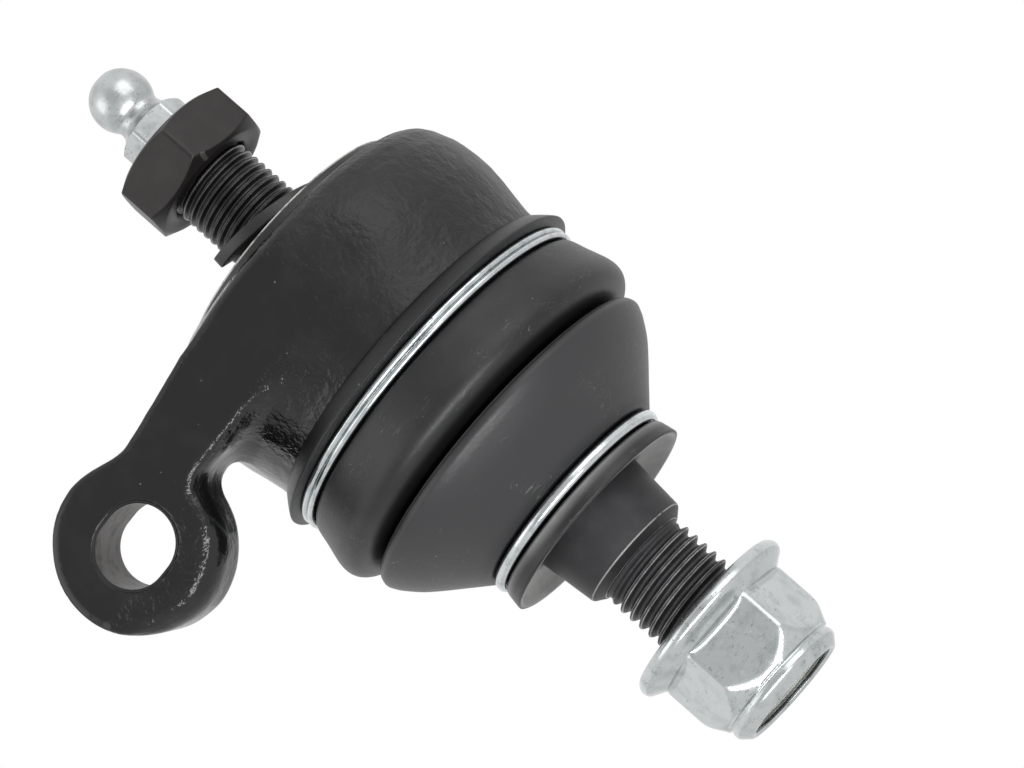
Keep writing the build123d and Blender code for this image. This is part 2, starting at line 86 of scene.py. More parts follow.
class Slot(Enum):
    """The finishes that the record names."""

    PAINT = "black_gloss_paint"
    OXIDE = "black_oxide"
    ZINC = "zinc_plate"
    PHOSPHATE = "phosphate_steel"
    RUBBER = "boot_rubber"


# ---- profiles ------------------------------------------------------------------------------


def rounded(corners: Profile, steps: int = 5) -> list[tuple[float, float]]:
    """Rounds the corners of a profile with short arcs.

    Args:
        corners: Points as (radius, height) or (radius, height, fillet radius).
        steps: Pieces in each arc.

    Returns:
        The points of the profile with its arcs.
    """
    out: list[tuple[float, float]] = []
    last = len(corners) - 1
    for i, corner in enumerate(corners):
        here = np.array(corner[:2], float)
        fillet = corner[2] if len(corner) > 2 else 0.0
        if fillet <= 0.0 or i in (0, last):
            out.append((here[0], here[1]))
            continue
        before = np.array(corners[i - 1][:2], float) - here
        after = np.array(corners[i + 1][:2], float) - here
        long_before, long_after = np.linalg.norm(before), np.linalg.norm(after)
        before, after = before / long_before, after / long_after
        half = 0.5 * math.acos(float(np.clip(before @ after, -1.0, 1.0)))
        if half > 0.5 * math.pi - 0.01:
            out.append((here[0], here[1]))
            continue
        reach = min(fillet / math.tan(half), 0.49 * long_before, 0.49 * long_after)
        start, end = here + before * reach, here + after * reach
        for t in np.arange(steps + 1) / steps:
            point = (1 - t) ** 2 * start + 2 * t * (1 - t) * here + t**2 * end
            out.append((float(point[0]), float(point[1])))
    return out


def flowing(points: Profile, steps: int = 5) -> list[tuple[float, float]]:
    """Draws a smooth curve through points.

    Args:
        points: Points as (radius, height).
        steps: Pieces between two points.

    Returns:
        The points of the curve.
    """
    p = np.array([points[0], *points, points[-1]], float)
    out: list[tuple[float, float]] = []
    for a, b, c, d in zip(p, p[1:], p[2:], p[3:]):
        for t in np.arange(steps) / steps:
            curve = 0.5 * (
                2 * b
                + (c - a) * t
                + (2 * a - 5 * b + 4 * c - d) * t**2
                + (3 * b - a - 3 * c + d) * t**3
            )
            out.append((float(curve[0]), float(curve[1])))
    out.append(tuple(points[-1]))
    return out


def hexagon(angles: np.ndarray, across_flats: float, turn: float, corner: float) -> np.ndarray:
    """Gives the radius of a hexagon with rounded corners in each direction.

    Args:
        angles: Directions in radians.
        across_flats: Size across the flats.
        turn: Direction of one corner, in degrees.
        corner: Radius of the corners.

    Returns:
        The radius at each angle.
    """
    step = math.pi / 3
    off = np.mod(angles - math.radians(turn) + step / 2, step) - step / 2
    from_flat = np.abs(np.abs(off) - step / 2)
    flat = across_flats / 2 / np.cos(from_flat)
    centre = (across_flats / 2 - corner) / math.cos(step / 2)
    side = centre * np.sin(np.abs(off))
    arc = centre * np.cos(off) + np.sqrt(np.maximum(corner**2 - side**2, 0.0))
    tangent = math.atan2(centre * math.sin(step / 2), across_flats / 2)
    return np.where(from_flat > tangent, arc, flat)


def ramp(value: np.ndarray, start: float, stop: float) -> np.ndarray:
    """Rises from 0 at start to 1 at stop and stays there."""
    return np.clip((value - start) / (stop - start), 0.0, 1.0)


def soft_union(a: np.ndarray, b: np.ndarray | float, reach: float) -> np.ndarray:
    """Gives the smaller of two distances or radii, with a fillet of that reach between them."""
    h = np.clip(0.5 + 0.5 * (b - a) / reach, 0.0, 1.0)
    return b + (a - b) * h - reach * h * (1 - h)


def soft_cut(a: np.ndarray, b: np.ndarray, reach: float) -> np.ndarray:
    """Gives the larger of two distances, so the edge where they meet is rounded."""
    return -soft_union(-a, -b, reach)


# ---- meshes --------------------------------------------------------------------------------


def mesh_object(name: str, points: np.ndarray, faces: list[list[int]]) -> bpy.types.Object:
    """Makes a smooth object from points in millimetres and faces.

    Args:
        name: Name of the piece.
        points: Points, one row each.
        faces: Corner numbers of each face.

    Returns:
        The new object, in the scene.
    """
    mesh = bpy.data.meshes.new(name)
    mesh.from_pydata((np.asarray(points) * MM).tolist(), [], faces)
    mesh.validate()
    mesh.polygons.foreach_set("use_smooth", [True] * len(mesh.polygons))
    mesh.update()
    piece = bpy.data.objects.new(name, mesh)
    bpy.context.scene.collection.objects.link(piece)
    return piece


def places(mesh: bpy.types.Mesh) -> np.ndarray:
    """Gives the points of a mesh in metres, one row each.

    Args:
        mesh: Mesh to read.

    Returns:
        The points in metres, one row each.
    """
    flat = np.empty(len(mesh.vertices) * 3)
    mesh.vertices.foreach_get("co", flat)
    return flat.reshape(-1, 3)


def move_to(mesh: bpy.types.Mesh, points: np.ndarray) -> None:
    """Moves the points of a mesh to places in metres."""
    mesh.vertices.foreach_set("co", points.ravel())
    mesh.update()


def skin(name: str, rings: Sequence[np.ndarray], looped: bool) -> bpy.types.Object:
    """Lays faces between closed rings of points.

    Args:
        name: Name of the piece.
        rings: Rings of the same number of points.
        looped: Whether the last ring joins the first; otherwise both ends get a cap.

    Returns:
        The new object, with its faces looking outward.
    """
    count, size = len(rings), len(rings[0])
    faces: list[list[int]] = []
    for i in range(count if looped else count - 1):
        a, b = i * size, (i + 1) % count * size
        for j in range(size):
            k = (j + 1) % size
            faces.append([a + j, a + k, b + k, b + j])
    if not looped:
        faces.append(list(range(size))[::-1])
        faces.append(list(range((count - 1) * size, count * size)))
    piece = mesh_object(name, np.concatenate(rings), faces)
    work = bmesh.new()
    work.from_mesh(piece.data)
    bmesh.ops.remove_doubles(work, verts=work.verts, dist=MERGED)
    bmesh.ops.recalc_face_normals(work, faces=work.faces)
    work.to_mesh(piece.data)
    work.free()
    return piece


@dataclass(frozen=True)
class Thread:
    """A right-hand thread that grows out of its root and ends in a chamfer."""

    crest: float
    pitch: float
    depth: float
    root: float
    lead: float
    rows: int
    crest_flat: float = 0.14
    flank: float = 0.62

    def radius(self, angles: np.ndarray, height: float) -> np.ndarray:
        """Gives the radius at a height in each direction, flat on crests and roots.

        Args:
            angles: Directions in radians.
            height: Height of the ring.

        Returns:
            The radius in each direction.
        """
        place = np.mod(height / self.pitch - angles / TURN, 1.0)
        away = (np.abs(2 * place - 1) - self.crest_flat) / self.flank
        return self.crest - self.depth * np.clip(away, 0.0, 1.0)


@dataclass
class Turned:
    """A skin laid over rings about the Z axis, each with its radius in every direction."""

    segments: int = 160
    rings: list[np.ndarray] = field(default_factory=list)

    @property
    def angles(self) -> np.ndarray:
        """The directions of the points of each ring, in radians."""
        return np.arange(self.segments) * TURN / self.segments

    def ring(self, radius: np.ndarray | float, height: float) -> None:
        """Adds one ring.

        Args:
            radius: Radius, the same all round or one for each direction.
            height: Height of the ring.
        """
        turn = self.angles
        r = np.broadcast_to(np.asarray(radius, float), turn.shape)
        z = np.full(turn.shape, height, float)
        self.rings.append(np.stack([r * np.cos(turn), r * np.sin(turn), z], axis=1))

    def path(self, profile: Iterable[tuple[float, float]]) -> None:
        """Adds a plain ring at each point of a profile."""
        for radius, height in profile:
            self.ring(radius, height)

    def threaded(self, cut: Thread, start: float, stop: float, chamfer: float) -> None:
        """Adds the rings of a thread.

        Args:
            cut: The thread.
            start: Height where it grows out of its root.
            stop: Height of its end.
            chamfer: How much smaller than the crest it is at its end.
        """
        for z in np.linspace(start, stop, int(abs(stop - start) / cut.pitch * cut.rows) + 1):
            grow = min(1.0, abs(z - start) / cut.lead)
            radius = cut.root + (cut.radius(self.angles, z) - cut.root) * grow
            self.ring(np.minimum(radius, cut.crest - chamfer + abs(stop - z)), z)

    def build(self, name: str, looped: bool = False) -> bpy.types.Object:
        """Makes the object; looped joins the last ring to the first, as on a hollow piece."""
        return skin(name, self.rings, looped)


def wire(
    name: str,
    path: Callable[[float], tuple[float, float, float]],
    stations: int,
    section: np.ndarray,
) -> bpy.types.Object:
    """Carries a section along a path about the Z axis.

    Args:
        name: Name of the piece.
        path: Gives (radius, angle, height) for a share of the length from 0 to 1.
        stations: Number of places along the path.
        section: Outline of the section as (outward, up) points.

    Returns:
        The new object, with both ends closed.
    """
    rings = []
    for share in np.linspace(0.0, 1.0, stations):
        radius, angle, height = path(share)
        r, z = radius + section[:, 0], height + section[:, 1]
        rings.append(np.stack([r * math.cos(angle), r * math.sin(angle), z], 1))
    return skin(name, rings, looped=False)


def round_section(radius: float, sides: int = 14) -> np.ndarray:
    """Gives the outline of a round wire."""
    turn = np.arange(sides) * TURN / sides
    return np.stack([radius * np.cos(turn), radius * np.sin(turn)], axis=1)


class Lattice:
    """Smooth random values in space, for the unevenness of forged and moulded surfaces."""

    size = 24

    def __init__(self, seed: int) -> None:
        """Fills the lattice from a seed."""
        self.values = np.random.default_rng(seed).uniform(-1.0, 1.0, (self.size,) * 3)

    def at(self, points: np.ndarray, wave: float) -> np.ndarray:
        """Reads the value at points.

        Args:
            points: Points, one row each.
            wave: Distance between lattice points.

        Returns:
            A value from -1 to 1 for each point.
        """
        place = points / wave
        low = np.floor(place).astype(int)
        part = place - low
        part = part * part * (3 - 2 * part)
        total = np.zeros(len(points))
        for corner in range(8):
            bits = np.array([corner & 1, corner >> 1 & 1, corner >> 2 & 1])
            share = np.prod(np.where(bits, part, 1 - part), axis=1)
            i, j, k = np.mod(low + bits, self.size).T
            total += share * self.values[i, j, k]
        return total


def push_out(
    piece: bpy.types.Object, amount: Callable[[np.ndarray, np.ndarray], np.ndarray]
) -> None:
    """Moves the points of a mesh along their normals.

    Args:
        piece: The object.
        amount: Gives millimetres for arrays of points and normals in millimetres.
    """
    mesh = piece.data
    points = places(mesh) / MM
    flat = np.empty(len(mesh.vertices) * 3)
    mesh.vertex_normals.foreach_get("vector", flat)
    normals = flat.reshape(-1, 3)
    move_to(mesh, (points + normals * amount(points, normals)[:, None]) * MM)


def keep_rest(piece: bpy.types.Object) -> None:
    """Writes each point's place at rest into the mesh, for finishes that bend with it."""
    rest = piece.data.attributes.new(REST, "FLOAT_VECTOR", "POINT")
    rest.data.foreach_set("vector", places(piece.data).ravel())


def outline_distance(x: np.ndarray, y: np.ndarray, corners: Profile) -> np.ndarray:
    """Gives the distance to a closed outline, negative inside.

    Args:
        x: First coordinate of the points.
        y: Second coordinate of the points.
        corners: Corners of the outline.

    Returns:
        The distance at each point.
    """
    best = np.full(x.shape, np.inf)
    inside = np.zeros(x.shape, bool)
    for i, (x1, y1) in enumerate(corners):
        x0, y0 = corners[i - 1]
        ex, ey = x1 - x0, y1 - y0
        share = np.clip(((x - x0) * ex + (y - y0) * ey) / (ex * ex + ey * ey), 0.0, 1.0)
        best = np.minimum(best, (x - x0 - share * ex) ** 2 + (y - y0 - share * ey) ** 2)
        if ey != 0.0:
            crosses = (y0 > y) != (y1 > y)
            inside ^= crosses & (x < ex * (y - y0) / ey + x0)
    return np.where(inside, -1.0, 1.0) * np.sqrt(best)


def net(
    field_at: DistanceField, low: Sequence[float], high: Sequence[float], step: float
) -> tuple[np.ndarray, list[list[int]]]:
    """Lays a mesh on the zero level of a distance field.

    Args:
        field_at: Gives the distance at points, one row each.
        low: Lowest corner of the box.
        high: Highest corner of the box.
        step: Size of the cells.

    Returns:
        The points and the four-sided faces.
    """
    axes = [np.arange(a, b + step, step) for a, b in zip(low, high)]
    grid = np.stack(np.meshgrid(*axes, indexing="ij"), axis=-1)
    values = field_at(grid.reshape(-1, 3)).reshape(grid.shape[:3])
    shape = tuple(n - 1 for n in values.shape)
    cut = {
        (i, j, k): values[i : i + shape[0], j : j + shape[1], k : k + shape[2]]
        for i in (0, 1)
        for j in (0, 1)
        for k in (0, 1)
    }
    total = np.zeros(shape + (3,))
    count = np.zeros(shape)
    for a in cut:
        for axis in range(3):
            if a[axis]:
                continue
            b = tuple(v + (n == axis) for n, v in enumerate(a))
            crossed = (cut[a] < 0) != (cut[b] < 0)
            gap = np.where(crossed, cut[a] - cut[b], 1.0)
            place = np.zeros(shape + (3,))
            place[...] = a
            place[..., axis] += cut[a] / gap
            total += np.where(crossed[..., None], place, 0.0)
            count += crossed
    used = count > 0
    number = np.full(shape, -1)
    number[used] = np.arange(int(used.sum()))
    cell = np.stack(np.nonzero(used), axis=1)
    points = np.array(low) + (cell + total[used] / count[used][:, None]) * step
    faces: list[list[int]] = []
    for axis in range(3):
        u, v = (axis + 1) % 3, (axis + 2) % 3
        ahead, behind = [slice(None)] * 3, [slice(None)] * 3
        ahead[axis], behind[axis] = slice(1, None), slice(None, -1)
        sign = (values[tuple(behind)] < 0).astype(int) - (values[tuple(ahead)] < 0)
        where = np.stack(np.nonzero(sign), axis=1)
        where = where[(where[:, u] > 0) & (where[:, v] > 0)]
        where = where[(where[:, u] < shape[u]) & (where[:, v] < shape[v])]
        ring = []
        for du, dv in ((-1, -1), (0, -1), (0, 0), (-1, 0)):
            place = where.copy()
            place[:, u] += du
            place[:, v] += dv
            ring.append(number[tuple(place.T)])
        quads = np.stack(ring, axis=1)
        flip = sign[tuple(where.T)] < 0
        quads[flip] = quads[flip][:, ::-1]
        faces += quads.tolist()
    for _ in range(SETTLE_ROUNDS):
        points = settle(field_at, points)
    return points, faces


def settle(field_at: DistanceField, points: np.ndarray) -> np.ndarray:
    """Moves points along the slope of a distance field to its zero level.

    Args:
        field_at: Gives the distance at points, one row each.
        points: Points near the zero level.

    Returns:
        The moved points.
    """
    reach = 0.05
    sides = [field_at(points + reach * e) - field_at(points - reach * e) for e in np.eye(3)]
    slope = np.stack(sides, axis=1) / (2 * reach)
    square = np.maximum((slope**2).sum(axis=1), 0.05)
    return points - slope * (field_at(points) / square)[:, None]


# ---- finishes --------------------------------------------------------------------------------


def put(socket: bpy.types.NodeSocket, value: object) -> None:
    """Links a socket to a value that varies, or sets it to a number or a colour.

    Args:
        socket: Input of a node.
        value: A Value, a number, a colour or a vector.
    """
    if isinstance(value, Value):
        value.tree.links.new(value.socket, socket)
    elif isinstance(value, tuple) and socket.type == "RGBA":
        socket.default_value = (*value[:3], 1.0)
    else:
        socket.default_value = value


def add_node(
    tree: bpy.types.NodeTree, kind: str, inputs: Iterable[tuple] = (), **options: object
) -> bpy.types.Node:
    """Adds a node.

    Args:
        tree: The node tree.
        kind: Type of the node, without its usual first words.
        inputs: Pairs of an input's name or number and its value.
        options: Settings of the node itself.

    Returns:
        The new node.
    """
    node = tree.nodes.new("ShaderNode" + kind)
    for name, value in options.items():
        setattr(node, name, value)
    for key, value in inputs:
        put(node.inputs[key], value)
    return node


@dataclass(frozen=True)
class Value:
    """A number or colour that varies over a surface, with the arithmetic of a node tree."""

    tree: bpy.types.NodeTree
    socket: bpy.types.NodeSocket

    def math(self, operation: str, *values: object) -> "Value":
        """Adds a math node on the given values."""
        node = add_node(self.tree, "Math", enumerate(values), operation=operation)
        return Value(self.tree, node.outputs[0])

    def __add__(self, other: object) -> "Value":
        """Adds two values."""
        return self.math("ADD", self, other)

    def __sub__(self, other: object) -> "Value":
        """Takes another value off this one."""
        return self.math("SUBTRACT", self, other)

    def __rsub__(self, other: object) -> "Value":
        """Takes this value off a number."""
        return self.math("SUBTRACT", other, self)

    def __mul__(self, other: object) -> "Value":
        """Multiplies two values, which for masks keeps what lies in both."""
        return self.math("MULTIPLY", self, other)

    def __or__(self, other: object) -> "Value":
        """Gives the larger of two values, which for masks keeps what lies in either."""
        return self.math("MAXIMUM", self, other)

    def __abs__(self) -> "Value":
        """Gives the size of the value without its sign."""
        return self.math("ABSOLUTE", self)

    def span(self, low: float, high: float, to_low: float = 0.0, to_high: float = 1.0) -> "Value":
        """Maps the range from low to high smoothly onto the range from to_low to to_high.

        Args:
            low: Start of the range.
            high: End of the range.
            to_low: Result at the start.
            to_high: Result at the end.

        Returns:
            The value on the new range.
        """
        ends = enumerate((self, low, high, to_low, to_high))
        node = add_node(self.tree, "MapRange", ends, interpolation_type="SMOOTHSTEP")
        return Value(self.tree, node.outputs[0])

    def near(self, place: float, wide: float, narrow: float, most: float = 1.0) -> "Value":
        """Marks a line: most within narrow of the place, and nothing beyond wide."""
        return abs(self - place).span(wide, narrow, 0.0, most)


class Nodes:
    """A material's node tree, with the few moves that the finishes need."""

    def __init__(self, name: str, bending: bool = False) -> None:
        """Starts a material with one principled shader.

        Args:
            name: Name of the material.
            bending: Whether the piece bends, so that places are read from its points at rest.
        """
        self.material = bpy.data.materials.new(name)
        self.material.use_nodes = True
        self.tree = self.material.node_tree
        self.shader = self.tree.nodes["Principled BSDF"]
        if bending:
            source = add_node(self.tree, "Attribute", attribute_name=REST).outputs["Vector"]
        else:
            source = add_node(self.tree, "TexCoord").outputs["Object"]
        inputs = ((0, Value(self.tree, source)), ("Scale", 1.0 / MM))
        scale = add_node(self.tree, "VectorMath", inputs, operation="SCALE")
        self.place = Value(self.tree, scale.outputs[0])
        apart = add_node(self.tree, "SeparateXYZ", [(0, self.place)])
        self.x, self.y, self.z = (Value(self.tree, out) for out in apart.outputs)
        self._height: Optional[Value] = None

    @property
    def radius(self) -> Value:
        """The distance from the Z axis."""
        square = self.x * self.x + self.y * self.y
        return square.math("SQRT", square)

    def noise(
        self,
        size: float,
        detail: float = 2.0,
        rough: float = 0.5,
        stretch: Point = (1.0, 1.0, 1.0),
        offset: float = 0.0,
    ) -> Value:
        """Adds a noise.

        Args:
            size: Size of its features in millimetres.
            detail: How much finer noise is laid over it.
            rough: How strong the finer noise is.
            stretch: How often it repeats along each axis.
            offset: Shift of the pattern, so that two noises differ.

        Returns:
            A value near one half.
        """
        shift = enumerate((self.place, stretch, (offset,) * 3))
        moved = add_node(self.tree, "VectorMath", shift, operation="MULTIPLY_ADD")
        inputs = {
            "Vector": Value(self.tree, moved.outputs[0]),
            "Scale": 1.0 / size,
            "Detail": detail,
            "Roughness": rough,
        }
        return Value(self.tree, add_node(self.tree, "TexNoise", inputs.items()).outputs["Fac"])

    def cells(self, size: float) -> Value:
        """Adds cells of a size in millimetres, and gives the distance from each cell's middle."""
        inputs = (("Vector", self.place), ("Scale", 1.0 / size))
        return Value(self.tree, add_node(self.tree, "TexVoronoi", inputs).outputs["Distance"])

    def edge(self, low: float, high: float) -> Value:
        """Gives 1 on sharp outer edges and 0 on flat ground."""
        shape = add_node(self.tree, "NewGeometry")
        return Value(self.tree, shape.outputs["Pointiness"]).span(low, high)

    def blend(self, share: Value, a: object, b: object) -> Value:
        """Mixes two colours, from a where the share is 0 to b where it is 1.

        Args:
            share: Share of the second colour.
            a: First colour.
            b: Second colour.

        Returns:
            The mixed colour.
        """
        node = add_node(self.tree, "Mix", data_type="RGBA")
        for number, value in ((0, share), (6, a), (7, b)):
            put(node.inputs[number], value)
        return Value(self.tree, node.outputs[2])

    def raise_by(self, height: Value, distance: float) -> None:
        """Adds relief, given as a height from 0 to 1 and its depth in millimetres."""
        tall = height * distance
        self._height = tall if self._height is None else self._height + tall

    def finish(
        self, colour: object, roughness: object, metallic: object, **fixed: float
    ) -> bpy.types.Material:
        """Connects the shader.

        Args:
            colour: Base colour.
            roughness: Roughness.
            metallic: 1 for bare or plated metal.
            fixed: Further sockets of the shader, which stay the same all over.

        Returns:
            The material.
        """
        sockets = self.shader.inputs
        put(sockets["Base Color"], colour)
        put(sockets["Roughness"], roughness)
        put(sockets["Metallic"], metallic)
        for name, value in fixed.items():
            sockets[name.replace("_", " ")].default_value = value
        if self._height is not None:
            bump = add_node(self.tree, "Bump", (("Distance", MM), ("Height", self._height)))
            put(sockets["Normal"], Value(self.tree, bump.outputs["Normal"]))
        return self.material


@dataclass(frozen=True)
class BlackPaint:
    """Gloss black paint on a forging: smooth on the pressed flat, pitted elsewhere."""

    colour: Colour = (0.005, 0.0051, 0.0054)
    dust: Colour = (0.05, 0.05, 0.052)
    worn: Colour = (0.42, 0.41, 0.4)
    roughness: float = 0.17
    grainy: float = 0.4
    hazy: float = 0.06
    peel: float = 0.03
    pits: float = 0.2
    fine_pits: float = 0.4
    smoothed: float = 0.86
    speckled: float = 0.35
    flat_low: float = 1.4
    eye_low: float = -2.3
    eye_to_flat: Span = (-26.5, -20.5)
    flat_y: float = -18.6
    flat_end: Span = (2.4, 0.8)
    lug_root: Span = (-16.0, -13.0)
    behind_face: Span = (-18.0, -18.7)

    def material(self) -> bpy.types.Material:
        """Builds the material.

        Returns:
            The new material.
        """
        n = Nodes("black_gloss_paint")
        front = n.y.span(self.flat_y + 0.3, self.flat_y - 0.35)
        low = n.x.span(*self.eye_to_flat, self.eye_low, self.flat_low)
        pressed = front * (n.z - low).span(-0.7, 0.6) * n.x.span(*self.flat_end)
        below_face = n.x.span(*self.lug_root) | n.y.span(*self.behind_face, 0.35, 1.0)
        pitted = (1.0 - pressed * self.smoothed) * below_face
        n.raise_by(n.noise(1.3, 2.0, 0.55) * pitted, self.pits)
        n.raise_by(n.noise(0.5, 2.0, 0.6, offset=7.0) * pitted, self.pits * self.fine_pits)
        n.raise_by(n.noise(3.4, 1.0, 0.4, offset=3.0), self.peel)
        haze = n.noise(5.0, 3.0, 0.6, offset=11.0).span(0.42, 0.7)
        tone = n.blend(haze * 0.1, self.colour, self.dust)
        speck = n.cells(1.7).span(0.075, 0.03) * n.noise(6.0, offset=5.0).span(0.5, 0.6)
        tone = n.blend(speck * self.speckled, tone, self.worn)
        grain = n.x.span(0.0, 6.0) * pitted * (self.grainy - self.roughness)
        gloss = grain + self.roughness + haze * self.hazy
        return n.finish(tone, gloss, 0.0, Specular_IOR_Level=0.47)


@dataclass(frozen=True)
class RimPaint:
    """The same paint on the turned rim, rubbed bare along its edges."""

    colour: Colour = (0.014, 0.0145, 0.0155)
    worn: Colour = (0.6, 0.59, 0.57)
    roughness: float = 0.3
    top_edge_r: float = 14.72
    top_edge_z: float = 11.72
    low_edge_z: float = 10.8
    soft: float = 0.14
    patches: Span = (0.3, 0.48)
    bare_metal: float = 0.6

    def material(self) -> bpy.types.Material:
        """Builds the material.

        Returns:
            The new material.
        """
        n = Nodes("rim_paint")
        patchy = n.noise(1.6, 3.0, 0.6)
        outer = n.radius.span(self.top_edge_r, self.top_edge_r + self.soft)
        top = n.z.span(self.top_edge_z, self.top_edge_z + self.soft) * outer
        low = n.z.near(self.low_edge_z, 0.16, 0.06, 0.55)
        bare = (top | low) * patchy.span(*self.patches, 0.25, 1.0)
        n.raise_by(n.noise(0.5, 3.0, 0.6), 0.03)
        n.raise_by(n.noise(3.0, 1.0), 0.03)
        tone = n.blend(bare, self.colour, self.worn)
        gloss = bare * 0.12 + self.roughness
        return n.finish(tone, gloss, bare * self.bare_metal, Specular_IOR_Level=0.55)


@dataclass(frozen=True)
class BareSteel:
    """Machined steel of the bolt slot, with fine tool marks and paint round its mouths."""

    colour: Colour = (0.15, 0.143, 0.14)
    stain: Colour = (0.08, 0.077, 0.075)
    paint: Colour = (0.005, 0.0051, 0.0054)
    roughness: float = 0.4
    metallic: float = 0.85
    front_mouth: Span = (-18.8, -18.93)
    back_mouth: Span = (-11.4, -11.27)

    def material(self) -> bpy.types.Material:
        """Builds the material.

        Returns:
            The new material.
        """
        n = Nodes("machined_steel")
        marks = n.noise(0.35, 2.0, 0.6, stretch=(1.0, 5.0, 1.0))
        n.raise_by(marks, 0.02)
        stain = n.noise(1.8, 3.0, 0.6, offset=2.0).span(0.45, 0.68)
        tone = n.blend(stain, self.colour, self.stain)
        speck = n.cells(2.3).span(0.09, 0.05) * n.noise(4.0, offset=6.0).span(0.45, 0.6)
        tone = n.blend(speck, tone, self.paint)
        mouth = n.y.span(*self.front_mouth) | n.y.span(*self.back_mouth)
        tone = n.blend(mouth, tone, self.paint)
        bare = self.metallic - mouth * self.metallic
        return n.finish(tone, marks * 0.15 + self.roughness, bare)


@dataclass(frozen=True)
class BlackOxide:
    """Black oxide or phosphate on turned steel, satin, rubbed along its edges and crests."""

    name: str = "black_oxide"
    colour: Colour = (0.026, 0.023, 0.0225)
    rubbed: Colour = (0.16, 0.155, 0.15)
    roughness: float = 0.36
    edges: Span = (0.53, 0.62)
    relief: float = 0.018
    crest: float = 0.0
    worn_z: float = 0.0
    haze: float = 0.04
    metallic: float = 0.55

    def material(self) -> bpy.types.Material:
        """Builds the material.

        Returns:
            The new material.
        """
        n = Nodes(self.name)
        grain = n.noise(0.28, 3.0, 0.65)
        cloud = n.noise(2.6, 3.0, 0.6, offset=4.0)
        n.raise_by(grain, self.relief)
        n.raise_by(cloud, self.relief)
        bare = n.edge(*self.edges) * cloud.span(0.3, 0.55, 0.35, 1.0)
        tone = n.blend(cloud.span(0.4, 0.7, 0.0, self.haze), self.colour, self.rubbed)
        if self.crest:
            patchy = cloud.span(0.3, 0.6, 0.45, 1.0)
            bare = bare | n.radius.near(self.crest - 0.09, 0.085, 0.03) * patchy
        if self.worn_z:
            patchy = n.noise(1.2, 3.0, 0.6, offset=5.0).span(0.26, 0.46)
            bare = bare | n.z.near(self.worn_z, 0.1, 0.03, 0.6) * patchy
        tone = n.blend(bare, tone, self.rubbed)
        gloss = grain * 0.12 + self.roughness
        return n.finish(tone, gloss, self.metallic, Specular_IOR_Level=0.6)


@dataclass(frozen=True)
class Zinc:
    """Bright zinc plate, a little cloudy, with scuffs and dark nicks."""

    name: str
    colour: Colour
    cloud: Colour
    roughness: float
    scuff: float
    nick: Colour = (0.06, 0.062, 0.062)
    nicked: float = 0.75
    nick_patches: Span = (0.49, 0.58)
    scuff_patches: Span = (0.56, 0.72)
    clouded: Span = (0.42, 0.72)

    def material(self) -> bpy.types.Material:
        """Builds the material.

        Returns:
            The new material.
        """
        n = Nodes(self.name)
        cloud = n.noise(2.2, 4.0, 0.62).span(*self.clouded)
        fine = n.noise(0.22, 3.0, 0.65, offset=6.0)
        marks = n.noise(0.7, 2.0, 0.6, stretch=(0.4, 1.0, 1.5), offset=17.0)
        patches = n.noise(1.6, 3.0, 0.6, offset=19.0).span(*self.nick_patches)
        nick = marks.near(0.5, 0.012, 0.003) * patches
        scuffs = n.noise(1.1, 4.0, 0.7, offset=9.0).span(*self.scuff_patches)
        n.raise_by(n.noise(1.4, 2.0, offset=1.0), 0.02)
        n.raise_by(fine, 0.006)
        tone = n.blend(cloud, self.colour, self.cloud)
        tone = n.blend(nick * self.nicked, tone, self.nick)
        gloss = scuffs * self.scuff + fine * 0.06 + self.roughness
        return n.finish(tone, gloss, 1.0)


